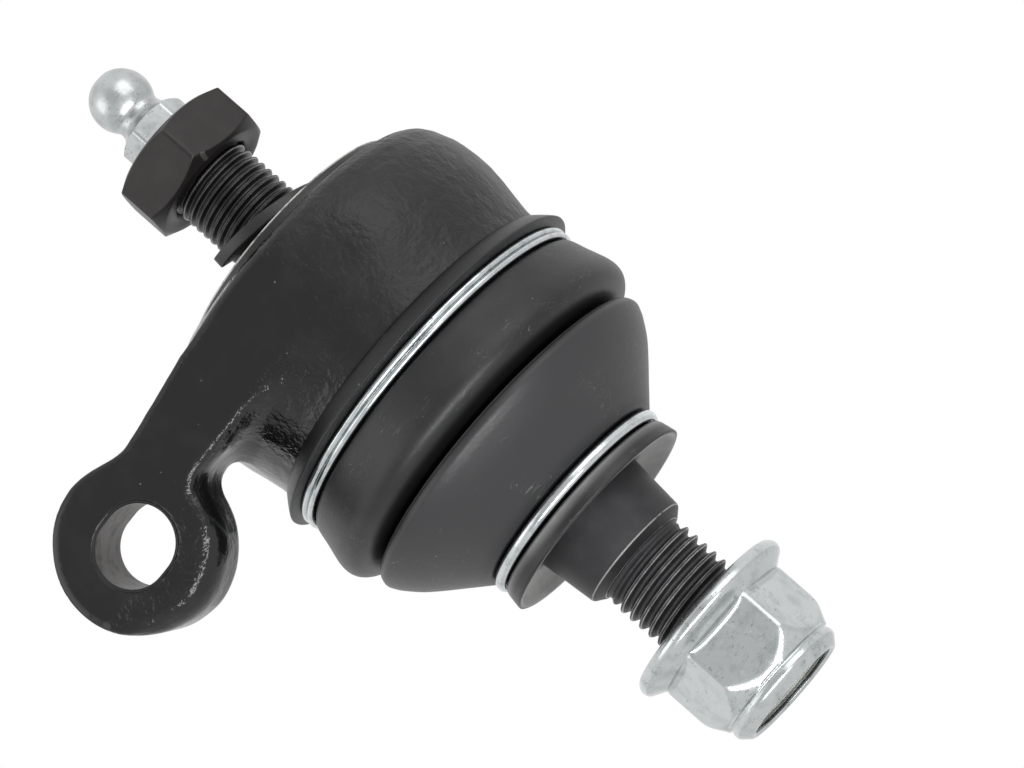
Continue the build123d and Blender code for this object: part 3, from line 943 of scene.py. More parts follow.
@dataclass(frozen=True)
class Rubber:
    """Dark grey moulded rubber, matt, with bloomed patches, dust specks, fine scratches, painted
    shade in the fold and painted light on the cone.
    """

    colour: Colour = (0.006, 0.006, 0.0068)
    # Lighter tone for mould blooming in patches, and painted light on the whole cone.
    bloom_and_cone_light: Colour = (0.029, 0.0292, 0.0315)
    # Plain dark of the lip, also used as the painted shade in the fold.
    deep: Colour = (0.006, 0.006, 0.0064)
    speck: Colour = (0.34, 0.34, 0.33)
    # Light grey for the patches inside the mouth of the foot.
    dust: Colour = (0.32, 0.32, 0.315)
    roughness: float = 0.34
    speckled: float = 0.45
    lip_z: float = -8.0
    fold_z: float = -17.4
    parting_z: float = -18.42
    parting_line: float = 0.3
    cone_top: Span = (-18.3, -19.2)
    cone_foot: Span = (-27.6, -26.0)
    mouth_z: Span = (-29.2, -29.5)
    mouth_r: Span = (12.05, 11.75)

    def material(self) -> bpy.types.Material:
        """Builds the material.

        Returns:
            The new material.
        """
        n = Nodes("boot_rubber", bending=True)
        cloud = n.noise(7.0, 4.0, 0.6)
        grain = n.noise(0.35, 3.0, 0.6, offset=3.0)
        n.raise_by(grain, 0.02)
        n.raise_by(cloud, 0.05)
        dots = n.cells(1.9).span(0.07, 0.035) * n.noise(5.0, offset=8.0).span(0.5, 0.62)
        lines = n.noise(0.5, 1.0, 0.5, stretch=(0.12, 0.5, 1.0), offset=12.0)
        scratch = lines.near(0.5, 0.006, 0.001) * n.noise(4.0, offset=14.0).span(0.56, 0.68)
        # Painted light: the whole cone, facing down towards the light from below, takes the
        # lighter tone.
        cone = n.z.span(*self.cone_top) * n.z.span(*self.cone_foot)
        tone = n.blend(cloud.span(0.35, 0.7, 0.0, 0.4) | cone, self.colour, self.bloom_and_cone_light)
        # The lip above lip_z takes the plain dark colour, without bloomed patches.
        tone = n.blend(n.z.span(self.lip_z - 0.1, self.lip_z + 0.1), tone, self.deep)
        tone = n.blend((dots | scratch) * self.speckled, tone, self.speck)
        # Painted shade: the fold is darkened to the plain dark colour, over the specks.
        tone = n.blend(n.z.near(self.fold_z, 1.2, 0.6), tone, self.deep)
        line = n.z.near(self.parting_z, 0.1, 0.03) * self.parting_line
        tone = n.blend(line, tone, self.speck)
        # The foot's lower end, inside its outer rim, is made light grey in patches.
        mouth = n.z.span(*self.mouth_z) * n.radius.span(*self.mouth_r)
        tone = n.blend(mouth * cloud.span(0.2, 0.7, 0.5, 1.0), tone, self.dust)
        gloss = grain * 0.16 + self.roughness
        return n.finish(tone, gloss, 0.0, Specular_IOR_Level=0.5)


@dataclass(frozen=True)
class Moulded:
    """Natural acetal or nylon of the seats and the locking ring."""

    name: str
    colour: Colour
    roughness: float = 0.42
    shaded: float = 0.82
    see_through: float = 0.1

    def material(self) -> bpy.types.Material:
        """Builds the material.

        Returns:
            The new material.
        """
        n = Nodes(self.name)
        n.raise_by(n.noise(0.5, 3.0, 0.6), 0.012)
        shade = tuple(self.shaded * v for v in self.colour)
        tone = n.blend(n.noise(3.0, 3.0).span(0.35, 0.7), self.colour, shade)
        return n.finish(tone, self.roughness, 0.0, Subsurface_Weight=self.see_through)


@dataclass(frozen=True)
class PlainSteel:
    """Ground or drawn steel of the hidden ball, spring and disc."""

    name: str
    colour: Colour = (0.5, 0.5, 0.51)
    roughness: float = 0.24

    def material(self) -> bpy.types.Material:
        """Builds the material.

        Returns:
            The new material.
        """
        n = Nodes(self.name)
        grain = n.noise(0.3, 3.0, 0.6)
        n.raise_by(grain, 0.006)
        shade = tuple(0.7 * v for v in self.colour)
        tone = n.blend(n.noise(2.0, 3.0, offset=2.0).span(0.4, 0.75), self.colour, shade)
        return n.finish(tone, grain * 0.12 + self.roughness, 1.0)


# ---- pieces ----------------------------------------------------------------------------------


def dress(
    piece: bpy.types.Object,
    body: Body,
    slot: Slot,
    material: bpy.types.Material,
    *nodes: str,
) -> None:
    """Puts a piece on its body and gives it a finish.

    Args:
        piece: The piece, in place.
        body: The body that carries it.
        slot: The finish that the record names; not used.
        material: The material.
        nodes: CAD nodes that the piece stands for.
    """
    piece.data.materials.append(material)
    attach(piece, body.value)
    if nodes:
        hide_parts(*nodes)
    LOG.info("%s: %d points on %s", piece.name, len(piece.data.vertices), body.value)


def keep_node(node: str, material: bpy.types.Material) -> None:
    """Gives a CAD piece whose shape is right a better finish.

    Args:
        node: Name of the piece.
        material: Its new material.
    """
    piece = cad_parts[node]
    for place in piece.material_slots:
        place.material = material
    if not piece.material_slots:
        piece.data.materials.append(material)
    LOG.info("%s: kept, with a new finish", node)


@dataclass
class ForgedHousing:
    """The forging with its side lug, its rolled rim and the bare wall of its bolt slot."""

    eye_x: float = -30.3
    eye_z: float = 0.65
    eye_r: float = 9.2
    eye_turned_in: float = 0.3
    slot_x: float = -29.95
    slot_half: float = 0.55
    slot_r: float = 3.97
    slot_lining: float = 0.16
    face: float = 19.1
    back: float = 11.1
    flare_x: float = -23.3
    flare_r: float = 7.0
    neck_above: float = 1.5
    neck_below: float = 2.4
    front_edge: float = 1.0
    lower_edge: float = 2.0
    lower_eye_edge: float = 0.6
    back_edge: float = 1.6
    web: float = 2.2
    web_above: float = 1.6
    face_step: float = 0.12
    face_edge: float = 0.6
    facet_edge: float = 0.7
    slot_edge: float = 0.3
    facet_turn: float = 8.6
    facet: float = 19.16
    clip_r: float = 20.36
    rim_r: float = 16.4
    forged_top: float = 10.7
    rim_stand: float = 1.2
    cell: float = 0.34
    unevenness: float = 0.07
    coarse_wave: float = 5.5
    fine_wave: float = 2.1
    pressed_low: float = -0.5
    pressed_end: float = 3.4
    smoothed: float = 0.85
    turned_r: float = 17.9
    turned_end: float = -17.8
    foot_r: float = 19.3
    foot_z: float = -6.6
    near_corner: Span = (-20.2, -11.6)
    far_corner: Point = (20.6, 20.6, 11.4)
    side: Profile = (
        (0.0, 10.7), (16.2, 10.7), (17.2, 10.5), (18.1, 10.1), (18.8, 9.4), (19.3, 8.5),
        (19.6, 7.5), (19.95, 6.4), (20.15, 5.2), (20.28, 3.6), (20.26, 1.8), (20.0, -0.2),
        (19.6, -2.2), (19.25, -4.2), (19.1, -6.9), (18.95, -7.1), (17.6, -7.1), (17.6, -9.9),
        (18.19, -9.9), (18.19, -10.5), (17.7, -11.0), (0.0, -11.0),
    )
    inside: Profile = (
        (0.0, -12.5), (12.95, -12.5), (11.06, -7.2), (13.29, -7.2), (13.29, 9.48),
        (14.6, 9.48), (14.6, 12.5), (0.0, 12.5),
    )
    arm: Profile = (
        (3.0, 0.1), (3.0, 7.6), (-3.0, 8.6), (-9.2, 9.3), (-12.35, 9.45), (-15.2, 9.15),
        (-19.5, 8.5), (-23.5, 8.0), (-30.0, 7.6), (-30.0, 0.1),
    )
    rim: Profile = (
        (14.3, 9.9), (15.3, 9.9), (15.3, 10.62, 0.05), (15.29, 10.86, 0.05),
        (15.06, 11.97, 0.13), (14.7, 12.0, 0.1), (13.1, 11.96, 0.2), (12.9, 11.8, 0.1),
        (12.9, 11.22), (14.16, 11.22), (14.3, 11.1),
    )
    slot_mouth: Profile = ((0.5, 0.4), (0.26, 0.03, 0.05), (0.14, 0.04, 0.06), (0.0, 0.22, 0.1))

    def slot_gap(self, x: np.ndarray, z: np.ndarray) -> np.ndarray:
        """Gives the distance to the wall of the bolt slot, negative in the slot."""
        across = np.maximum(np.abs(x - self.slot_x) - self.slot_half, 0.0)
        return np.hypot(across, z - self.eye_z) - self.slot_r

    def lug(self, points: np.ndarray) -> np.ndarray:
        """Gives the distance to the lug: eye and arm as a plate, cut to its face and its back.

        Args:
            points: Points in millimetres, one row each.

        Returns:
            The distance at each point, negative in the metal.
        """
        x, y, z = points.T
        turned_in = self.eye_turned_in * ramp(x, self.eye_x, self.eye_x - 6.0)
        eye = np.hypot(x - self.eye_x, z - self.eye_z) - self.eye_r + turned_in
        neck = np.where(z > 4.0, self.neck_above, self.neck_below)
        plate = soft_union(eye, outline_distance(x, z, self.arm), neck)
        low = ramp(z, 2.5, -0.5) * ramp(x, -38.0, -34.0)
        rounder = self.lower_edge + self.lower_eye_edge * ramp(x, -22.0, -25.0)
        edge = self.front_edge + low * rounder
        flare = np.clip((x - self.flare_x) / self.flare_r, 0.0, 0.95)
        behind = y + self.back - self.flare_r * (1.0 - np.sqrt(1.0 - flare**2))
        return soft_cut(soft_cut(plate, -(y + self.face), edge), behind, self.back_edge)

    def field_at(self, points: np.ndarray) -> np.ndarray:
        """Gives the distance to the forged skin.

        Args:
            points: Points in millimetres, one row each.

        Returns:
            The distance at each point, negative in the metal.
        """
        x, y, z = points.T
        radius = np.hypot(x, y)
        body = outline_distance(radius, z, self.side)
        web = self.web + self.web_above * ramp(z, 2.0, 5.0)
        whole = soft_union(body, self.lug(points), web)
        whole = soft_cut(whole, -(y + self.face) - self.face_step, self.face_edge)
        turn = math.radians(self.facet_turn)
        facet = x * math.sin(turn) - y * math.cos(turn) - self.facet
        whole = soft_cut(whole, facet, self.facet_edge)
        away_from_lug = (x > 4.0) | (y > 2.0)
        whole = np.where(away_from_lug, np.maximum(whole, radius - self.clip_r), whole)
        top = self.forged_top + np.where(radius < self.rim_r, 0.0, self.rim_stand)
        whole = np.maximum(whole, z - top)
        whole = np.maximum(whole, -outline_distance(radius, z, self.inside))
        return soft_cut(whole, self.slot_lining - self.slot_gap(x, z), self.slot_edge)

    def forging(self) -> bpy.types.Object:
        """Builds the forged skin.

        Returns:
            The forging, uneven where it was forged.
        """
        far = self.eye_x - self.eye_r - 0.8
        points, faces = net(self.field_at, (far, *self.near_corner), self.far_corner, self.cell)
        piece = mesh_object("housing_forging", points, faces)
        coarse, fine = Lattice(3), Lattice(8)

        def amount(p: np.ndarray, n: np.ndarray) -> np.ndarray:
            """Gives the unevenness of the forged skin, none on turned or pressed ground.

            Args:
                p: Points, one row each.
                n: Their normals.

            Returns:
                How far each point moves out.
            """
            x, _, z = p.T
            radius = np.hypot(x, p[:, 1])
            pressed = ramp(-n[:, 1], 0.9, 0.98) * (z > self.pressed_low) * (x < self.pressed_end)
            turned = (radius < self.turned_r) & (x > self.turned_end)
            turned |= (z < self.foot_z) & (radius < self.foot_r)
            wave = coarse.at(p, self.coarse_wave) + fine.at(p, self.fine_wave) * 0.5
            off_slot = ramp(self.slot_gap(x, z), 0.24, 1.04)
            relief = wave * self.unevenness - 0.04
            return relief * (1.0 - self.smoothed * pressed) * ~turned * off_slot

        push_out(piece, amount)
        return piece

    def turned_rim(self) -> bpy.types.Object:
        """Builds the turned rim with its rolled lip.

        Returns:
            The closed ring of the rim.
        """
        ring = Turned(220)
        ring.path(rounded(self.rim, 4))
        return ring.build("housing_rim", looped=True)

    def slot_wall(self) -> bpy.types.Object:
        """Builds the bare machined wall of the bolt slot, with its broken edges.

        Returns:
            The wall as one closed band.
        """
        near, far = 0.02 - self.face, -0.02 - self.back
        corners = [(out, near + deep, *fillet) for out, deep, *fillet in self.slot_mouth]
        corners += [(out, far - deep, *fillet) for out, deep, *fillet in self.slot_mouth[::-1]]
        section = rounded(corners, 3)
        dense = []
        for (u0, v0), (u1, v1) in zip(section, section[1:]):
            parts = max(1, int(abs(v1 - v0) / 0.8))
            for share in np.arange(parts) / parts:
                dense.append((u0 + (u1 - u0) * share, v0 + (v1 - v0) * share))
        dense.append(section[-1])
        turn = np.arange(120) * TURN / 120
        middle = self.slot_x + np.sign(np.round(np.cos(turn), 9)) * self.slot_half
        rings = []
        for out, y in dense:
            r = self.slot_r + out
            x, z = middle + r * np.cos(turn), self.eye_z + r * np.sin(turn)
            rings.append(np.stack([x, np.full(turn.shape, y), z], axis=1))
        return skin("bolt_slot_wall", rings, looped=True)

    def build(self) -> None:
        """Builds and dresses the pieces."""
        paint = BlackPaint().material()
        dress(self.forging(), Body.HOUSING, Slot.PAINT, paint, "forged_housing")
        dress(self.turned_rim(), Body.HOUSING, Slot.PAINT, RimPaint().material())
        dress(self.slot_wall(), Body.HOUSING, Slot.PAINT, BareSteel().material())


@dataclass
class StubCover:
    """The turned cover with its hub and threaded stub."""

    edge_r: float = 14.1
    hub_r: float = 9.0
    low: float = 9.5
    top: float = 11.2
    hub_top: float = 12.0
    end: float = 29.2
    passage_r: float = 1.4
    cone_r: float = 6.2
    foot_r: float = 8.0
    inside: Profile = ((4.1, 29.2), (3.0, 29.2), (3.0, 23.7), (1.4, 23.6))
    thread: Thread = Thread(crest=4.95, pitch=1.0, depth=0.6, root=4.41, lead=1.0, rows=14)
    finish: BlackOxide = BlackOxide(
        "thread_oxide", (0.022, 0.022, 0.023), (0.42, 0.41, 0.4), 0.3, NO_WEAR, 0.01, 4.95, 11.95
    )

    def build(self) -> None:
        """Builds and dresses the cover."""
        ring = Turned(144)
        corners = [
            (self.passage_r, self.low + 2.2), (self.cone_r, self.low + 0.3),
            (self.foot_r, self.low),
            (self.edge_r, self.low, 0.2), (self.edge_r, self.top, 0.2),
            (self.hub_r + 0.5, self.top, 0.2), (self.hub_r, self.top + 0.45, 0.1),
            (self.hub_r, self.hub_top, 0.25), (self.thread.crest - 0.1, self.hub_top),
        ]
        ring.path(rounded(corners, 4))
        ring.threaded(self.thread, self.hub_top + 0.15, self.end - 0.02, 0.7)
        ring.path(self.inside)
        piece = ring.build("threaded_stub_cover", looped=True)
        dress(piece, Body.HOUSING, Slot.OXIDE, self.finish.material(), "stub_cover")


@dataclass
class SpringWasher:
    """The split lock washer, one left-hand turn that leans on the stub."""

    inner_r: float = 5.37
    outer_r: float = 7.98
    thick: float = 1.36
    corner: float = 0.2
    rise: float = 3.1
    sweep: float = 353.0
    start: float = 220.0
    lean: float = 6.5
    seat: float = 12.08
    finish: BlackOxide = BlackOxide(
        "washer_oxide", (0.045, 0.044, 0.044), (0.2, 0.195, 0.19), 0.34
    )

    def section(self) -> np.ndarray:
        """Gives the outline of the flat wire, with its rounded corners.

        Returns:
            The points of the outline, one row each.
        """
        half = (self.outer_r - self.inner_r) / 2 - self.corner
        tall = self.thick / 2 - self.corner
        outline = []
        centres = ((half, tall), (-half, tall), (-half, -tall), (half, -tall))
        for quarter, (x, y) in enumerate(centres):
            for a in (quarter / 4 + np.arange(5) / 16) * TURN:
                outline.append((x + self.corner * math.cos(a), y + self.corner * math.sin(a)))
        return np.array(outline)

    def path(self, share: float) -> tuple[float, float, float]:
        """Gives the washer's middle line.

        Args:
            share: Share of the way along the wire.

        Returns:
            Radius, direction in radians and height.
        """
        middle = (self.inner_r + self.outer_r) / 2
        angle = math.radians(self.start - self.sweep * share)
        return middle, angle, self.rise * self.sweep / 360 * share

    def build(self) -> None:
        """Builds and dresses the washer."""
        piece = wire("spring_washer_coil", self.path, 150, self.section())
        lean = np.array(Matrix.Rotation(math.radians(self.lean), 3, "Y"))
        points = places(piece.data) @ lean.T
        points[:, 2] += self.seat * MM - points[:, 2].min()
        move_to(piece.data, points)
        dress(piece, Body.WASHER, Slot.OXIDE, self.finish.material(), "spring_washer")


@dataclass(frozen=True)
class HexagonNut:
    """The outside of a hexagon nut whose corners are turned off at its ends.

    A cut is the radius at the end face; its slope is the rise for each step outward.
    """

    across: float
    turn: float
    low: float
    high: float
    cut_low: Optional[float] = None
    cut_high: Optional[float] = None
    slope: float = NUT_SLOPE
    corner: float = 0.35
    rows: int = 12

    def levels(self) -> list[float]:
        """Gives the heights of the rings, close together over the turned corners.

        Returns:
            The heights, from the low face to the high one.
        """
        reach = self.across / math.sqrt(3)
        steps = [(k / self.rows) ** 1.3 for k in range(self.rows + 1)]
        start, stop = self.low, self.high
        before, after = [start], [stop]
        if self.cut_low:
            drop = (reach - self.cut_low) * self.slope + 0.15
            before, start = [self.low + drop * s for s in steps], self.low + drop
        if self.cut_high:
            drop = (reach - self.cut_high) * self.slope + 0.15
            after, stop = [self.high - drop * s for s in steps[::-1]], self.high - drop
        return before + list(np.linspace(start, stop, 5))[1:-1] + after

    def add_to(self, ring: Turned) -> None:
        """Adds the rings of the nut's outside to a skin.

        Args:
            ring: Skin that gets the rings.
        """
        around = hexagon(ring.angles, self.across, self.turn, self.corner)
        for z in self.levels():
            r = around
            for cut, rise in ((self.cut_low, z - self.low), (self.cut_high, self.high - z)):
                if cut:
                    r = soft_union(r, cut + rise / self.slope, 0.12)
            ring.ring(r, z)


@dataclass
class JamNut:
    """The thin hexagon nut on the stub."""

    low: float = 23.5
    high: float = 29.6
    across: float = 15.0
    turn: float = -15.5
    face_r: float = 7.15
    bore: float = 5.0
    broken: float = 0.5

    def build(self) -> None:
        """Builds and dresses the nut."""
        ring = Turned(240)
        low, high, face, wide = self.low, self.high, self.face_r, self.bore + self.broken
        ring.path([(wide, high), (self.bore, high - self.broken)])
        ring.path([(self.bore, low + self.broken), (wide, low)])
        ring.path([(face - 0.3, low), (face - 0.06, low + 0.01)])
        nut = HexagonNut(self.across, self.turn, low + 0.04, high - 0.04, face, face)
        nut.add_to(ring)
        ring.path([(face - 0.06, high - 0.01), (face - 0.3, high)])
        piece = ring.build("jam_nut_on_stub", looped=True)
        dress(piece, Body.JAM_NUT, Slot.OXIDE, BlackOxide().material(), "jam_nut")


@dataclass
class GreaseNipple:
    """The grease nipple in the end of the stub."""

    seat: float = 29.2
    hex_top: float = 32.7
    across: float = 7.4
    turn: float = 18.0
    head_z: float = 36.75
    head_r: float = 3.5
    neck_r: float = 2.7
    tip: float = 39.78
    mouth_r: float = 0.8
    spigot_r: float = 2.95
    spigot_end: float = 24.25
    passage: Profile = ((0.8, 39.2), (1.2, 38.6), (1.25, 24.8), (0.8, 24.7))
    finish: Zinc = Zinc("nipple_zinc", (0.53, 0.555, 0.555), (0.4, 0.42, 0.42), 0.26, 0.1)

    def build(self) -> None:
        """Builds and dresses the nipple and the parts of its valve."""
        ring = Turned(144)
        wide, mouth = self.spigot_r, self.mouth_r
        ring.path([(mouth, self.spigot_end), (wide, self.spigot_end)])
        ring.path([(wide, self.seat - 0.4), (wide, self.seat)])
        ring.ring(hexagon(ring.angles, self.across, self.turn, 0.25) - 0.25, self.seat)
        nut = HexagonNut(
            self.across, self.turn, self.seat + 0.05, self.hex_top, None, 3.75, corner=0.2, rows=8
        )
        nut.add_to(ring)
        neck = [
            (3.62, self.hex_top + 0.03), (3.3, self.hex_top + 0.25), (2.85, self.hex_top + 0.8),
            (self.neck_r, self.hex_top + 1.35), (self.neck_r + 0.02, self.hex_top + 1.75),
        ]
        ring.path(flowing(neck, 4))
        start = math.asin(-math.sqrt(1 - ((self.neck_r + 0.2) / self.head_r) ** 2))
        stop = math.asin((self.tip - self.head_z) / self.head_r)
        for a in np.linspace(start, stop, 22):
            ring.ring(self.head_r * math.cos(a), self.head_z + self.head_r * math.sin(a))
        ring.path([(1.2, self.tip + 0.06), (0.95, self.tip), (mouth, self.tip - 0.15)])
        ring.path(self.passage)
        piece = ring.build("grease_nipple", looped=True)
        dress(piece, Body.HOUSING, Slot.ZINC, self.finish.material(), "nipple_body")
        ball = PlainSteel("valve_ball_steel", (0.4, 0.4, 0.41), 0.15)
        keep_node("nipple_check_ball", ball.material())
        keep_node("nipple_spring", PlainSteel("valve_spring_steel").material())


@dataclass
class DustBoot:
    """The rubber boot, in an upper and a lower half that meet in the fold, with its two rings."""

    lip: Profile = (
        (19.3, -5.8), (19.28, -5.66), (19.42, -5.58), (19.75, -5.86), (20.2, -6.38),
        (20.65, -6.95), (20.93, -7.33), (21.0, -7.47), (20.97, -7.58), (20.8, -7.64),
        (20.4, -7.72), (20.05, -7.86), (19.85, -7.94),
    )
    bulge: Profile = (
        (19.4, -7.97), (19.06, -8.1), (19.05, -9.3), (19.15, -9.6), (19.7, -9.8),
        (20.05, -10.4), (20.38, -11.7), (20.78, -13.1), (21.05, -14.1), (21.15, -14.9),
        (21.08, -15.6), (20.82, -16.2), (20.3, -16.75), (19.5, -17.18), (18.6, -17.48),
        (17.8, -17.72), (17.3, -17.9),
    )
    bulge_end: Profile = ((16.4, -18.0), (16.1, -17.8))
    bulge_inside: Profile = (
        (16.4, -17.2), (18.0, -16.5), (19.3, -15.7), (19.3, -14.4), (18.9, -12.6), (18.55, -11.35),
    )
    seat: Profile = ((18.5, -11.0), (18.5, -9.7), (17.95, -9.6), (17.95, -7.42), (19.2, -7.38))
    cone: Profile = (
        (17.3, -18.02), (18.3, -18.12), (18.95, -18.24), (19.3, -18.5), (19.5, -19.0),
        (19.5, -19.4), (19.22, -20.0), (18.85, -20.6), (17.7, -22.1), (16.2, -23.6),
        (14.5, -25.2), (13.2, -26.45), (12.35, -27.25),
    )
    foot: Profile = (
        (11.95, -27.36), (11.2, -27.42), (11.02, -27.52), (11.0, -28.88), (11.1, -28.97),
        (11.55, -29.04), (11.78, -29.15), (11.95, -29.6), (12.2, -31.0), (12.2, -31.22),
        (12.05, -31.32), (11.7, -31.33), (11.45, -31.25), (11.1, -30.7), (10.6, -30.15),
        (9.6, -29.75), (8.5, -29.45), (7.95, -29.2), (7.8, -28.9), (7.8, -27.5), (8.4, -26.7),
    )
    cone_inside: Profile = (
        (9.6, -25.6), (12.6, -23.2), (15.4, -20.9), (16.7, -19.6), (16.2, -18.7),
    )
    unevenness: float = 0.06
    wave: float = 8.0
    smooth_above: float = -9.8
    large_r: float = 19.72
    large_z: float = -8.39
    large_wire: float = 0.385
    large_start: float = 70.0
    large_turns: float = 1.96
    large_step: float = 0.74
    small_r: float = 11.6
    small_z: float = -28.22
    small_wire: float = 0.51
    small_tall: float = 1.34
    small_start: float = 60.0
    small_turns: float = 0.995
    wire_finish: Zinc = Zinc("ring_zinc", (0.6, 0.63, 0.64), (0.42, 0.45, 0.46), 0.16, 0.1)

    def halves(self) -> tuple[bpy.types.Object, bpy.types.Object]:
        """Builds the upper and the lower half of the boot.

        Returns:
            The upper and the lower half.
        """
        upper = Turned(200)
        for profile in (
            self.lip,
            flowing(self.bulge, 3),
            self.bulge_end,
            flowing(self.bulge_inside, 3),
            self.seat,
        ):
            upper.path(profile)
        lower = Turned(200)
        for profile in (
            [(16.3, -18.1)], flowing(self.cone, 3), self.foot, flowing(self.cone_inside, 4)
        ):
            lower.path(profile)
        return (
            upper.build("dust_boot_upper", looped=True),
            lower.build("dust_boot_lower", looped=True),
        )

    def build(self) -> None:
        """Builds and dresses the boot and the rings."""
        rubber = Rubber().material()
        top, low = self.halves()
        soft = Lattice(21)

        def amount(p: np.ndarray, n: np.ndarray) -> np.ndarray:
            """Gives the unevenness of the moulded rubber below the large ring."""
            return (soft.at(p, self.wave) - 1.0) * self.unevenness * (p[:, 2] < self.smooth_above)

        for piece in (top, low):
            push_out(piece, amount)
            keep_rest(piece)
            piece.data.materials.append(rubber)
            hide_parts("dust_boot")
        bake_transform(top)
        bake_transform(low)
        LOG.info("dust boot: upper half from housing to boot, lower half from boot to its clamp")
        self.rings()

    def large_path(self, share: float) -> tuple[float, float, float]:
        """Gives the middle line of the large ring, two close turns with a step between them.

        Args:
            share: Share of the way along the wire.

        Returns:
            Radius, direction in radians and height.
        """
        step = 0.5 - 0.5 * math.cos(math.pi * min(1.0, max(0.0, (share - 0.42) / 0.16)))
        angle = math.radians(self.large_start) + self.large_turns * TURN * share
        return self.large_r, angle, self.large_z - self.large_step * step

    def small_path(self, share: float) -> tuple[float, float, float]:
        """Gives the middle line of the small ring."""
        angle = math.radians(self.small_start) + self.small_turns * TURN * share
        return self.small_r, angle, self.small_z

    def rings(self) -> None:
        """Builds the two clamp rings of plated wire."""
        zinc = self.wire_finish.material()
        coil = wire("large_ring_wire", self.large_path, 420, round_section(self.large_wire))
        dress(coil, Body.HOUSING, Slot.ZINC, zinc, "large_clamp_ring")
        oval = round_section(self.small_wire) * np.array([1.0, self.small_tall])
        band = wire("small_ring_wire", self.small_path, 200, oval)
        dress(band, Body.BOOT_CLAMP, Slot.ZINC, zinc, "small_clamp_ring")


@dataclass
class BallStud:
    """Ball, neck, taper and threaded end of the stud."""

    ball_r: float = 11.0
    flat_r: float = 4.2
    ball_foot_r: float = 5.75
    crown: Profile = ((0.02, 10.166), (4.0, 10.166))
    tail: Profile = ((4.6, -56.6), (0.02, -56.6))
    thread_start: float = -37.6
    end: float = -56.58
    thread: Thread = Thread(crest=5.5, pitch=1.27, depth=0.66, root=5.1, lead=0.7, rows=16)
    neck: Profile = (
        (5.62, -9.9, 0.5), (5.6, -19.0, 3.0), (7.44, -26.0, 1.6), (7.2, -29.5), (6.98, -32.0),
        (6.78, -34.4), (6.62, -36.22, 0.12), (6.5, -36.42, 0.08), (5.6, -37.1, 0.1),
        (5.1, -37.2, 0.15), (5.08, -37.5, 0.15),
    )
    finish: BlackOxide = BlackOxide(
        "dark_phosphate",
        (0.03, 0.0295, 0.0325),
        (0.55, 0.53, 0.51),
        0.42,
        NO_WEAR,
        0.02,
        crest=5.5,
        worn_z=-36.3,
        haze=0.02,
    )

    def build(self) -> None:
        """Builds and dresses the stud."""
        ring = Turned(160)
        ring.path(self.crown)
        top = math.acos(self.flat_r / self.ball_r)
        foot = -math.acos(self.ball_foot_r / self.ball_r)
        for a in np.linspace(top, foot, 60):
            ring.ring(self.ball_r * math.cos(a), self.ball_r * math.sin(a))
        ring.path(rounded(self.neck, 5))
        ring.threaded(self.thread, self.thread_start, self.end, 0.75)
        ring.path(self.tail)
        piece = ring.build("ball_and_shank")
        dress(piece, Body.STUD, Slot.PHOSPHATE, self.finish.material(), "ball_stud")


@dataclass
class LockNut:
    """The flange lock nut with its rolled collar."""

    face: float = -45.6
    flange_r: float = 10.3
    across: float = 15.0
    turn: float = 10.5
    hex_end: float = -55.75
    collar_r: float = 7.35
    end: float = -58.0
    bore: float = 5.55
    corner: float = 0.7
    flange_root_r: float = 8.45
    seat_r: float = 6.6
    lip_r: float = 5.95
    throat_r: float = 5.72
    groove_r: float = 6.55
    cut_slope: float = 1.95
    cut_edge: float = 0.4
    finish: Zinc = Zinc("nut_zinc", (0.56, 0.59, 0.59), (0.44, 0.47, 0.47), 0.18, 0.07)

    def build(self) -> None:
        """Builds and dresses the nut."""
        ring = Turned(240)
        face, flange, bore = self.face, self.flange_r, self.bore
        low, collar, end = self.hex_end, self.collar_r, self.end
        corners = [
            (bore, face - 1.2), (bore + 0.5, face), (self.seat_r, face), (flange - 0.5, face, 0.6),
            (flange, face - 0.7, 0.8), (flange - 0.05, face - 1.5, 0.9),
            (flange - 0.9, face - 2.0, 0.9), (8.6, face - 2.5),
        ]
        ring.path(rounded(corners, 6))
        around = hexagon(ring.angles, self.across, self.turn, self.corner)
        root, top = self.flange_root_r, face - 2.7
        for share in np.linspace(0.0, 1.0, 6):
            ring.ring(root + (around - root) * share**0.7, top - 0.45 * share**2)
        for z in (*np.linspace(top - 0.8, low + 3.0, 5), *np.linspace(low + 2.75, low, 16)):
            cut = collar + 0.12 + max(0.0, z - low) / self.cut_slope
            ring.ring(soft_union(around, cut, self.cut_edge), z)
        corners = [
            (collar + 0.1, low - 0.02), (collar - 0.24, low - 0.2, 0.25),
            (collar - 0.04, low - 0.6, 0.4), (collar - 0.02, end + 1.05, 0.8),
            (collar - 1.0, end, 0.9), (self.lip_r, end + 0.02, 0.12),
            (self.throat_r, end + 0.25, 0.1), (self.throat_r, end + 0.9),
            (self.groove_r, end + 0.92), (self.groove_r, end + 2.78), (bore, end + 2.85),
        ]
        ring.path(rounded(corners, 5))
        piece = ring.build("flange_lock_nut", looped=True)
        dress(piece, Body.LOCK_NUT, Slot.ZINC, self.finish.material(), "lock_nut")
        keep_node("nylon_insert", Moulded("insert_nylon", (0.62, 0.62, 0.56)).material())


@dataclass
class Bearing:
    """The seats and the disc spring inside the housing."""

    seat: Moulded = Moulded("seat_acetal", (0.72, 0.7, 0.63), 0.38)
    disc: PlainSteel = PlainSteel("disc_spring_steel", (0.3, 0.31, 0.34), 0.3)

    def build(self) -> None:
        """Gives the CAD pieces their finishes."""
        acetal = self.seat.material()
        keep_node("upper_bearing_seat", acetal)
        keep_node("lower_bearing_seat", acetal)
        keep_node("preload_disc_spring", self.disc.material())


# ---- studio ----------------------------------------------------------------------------------


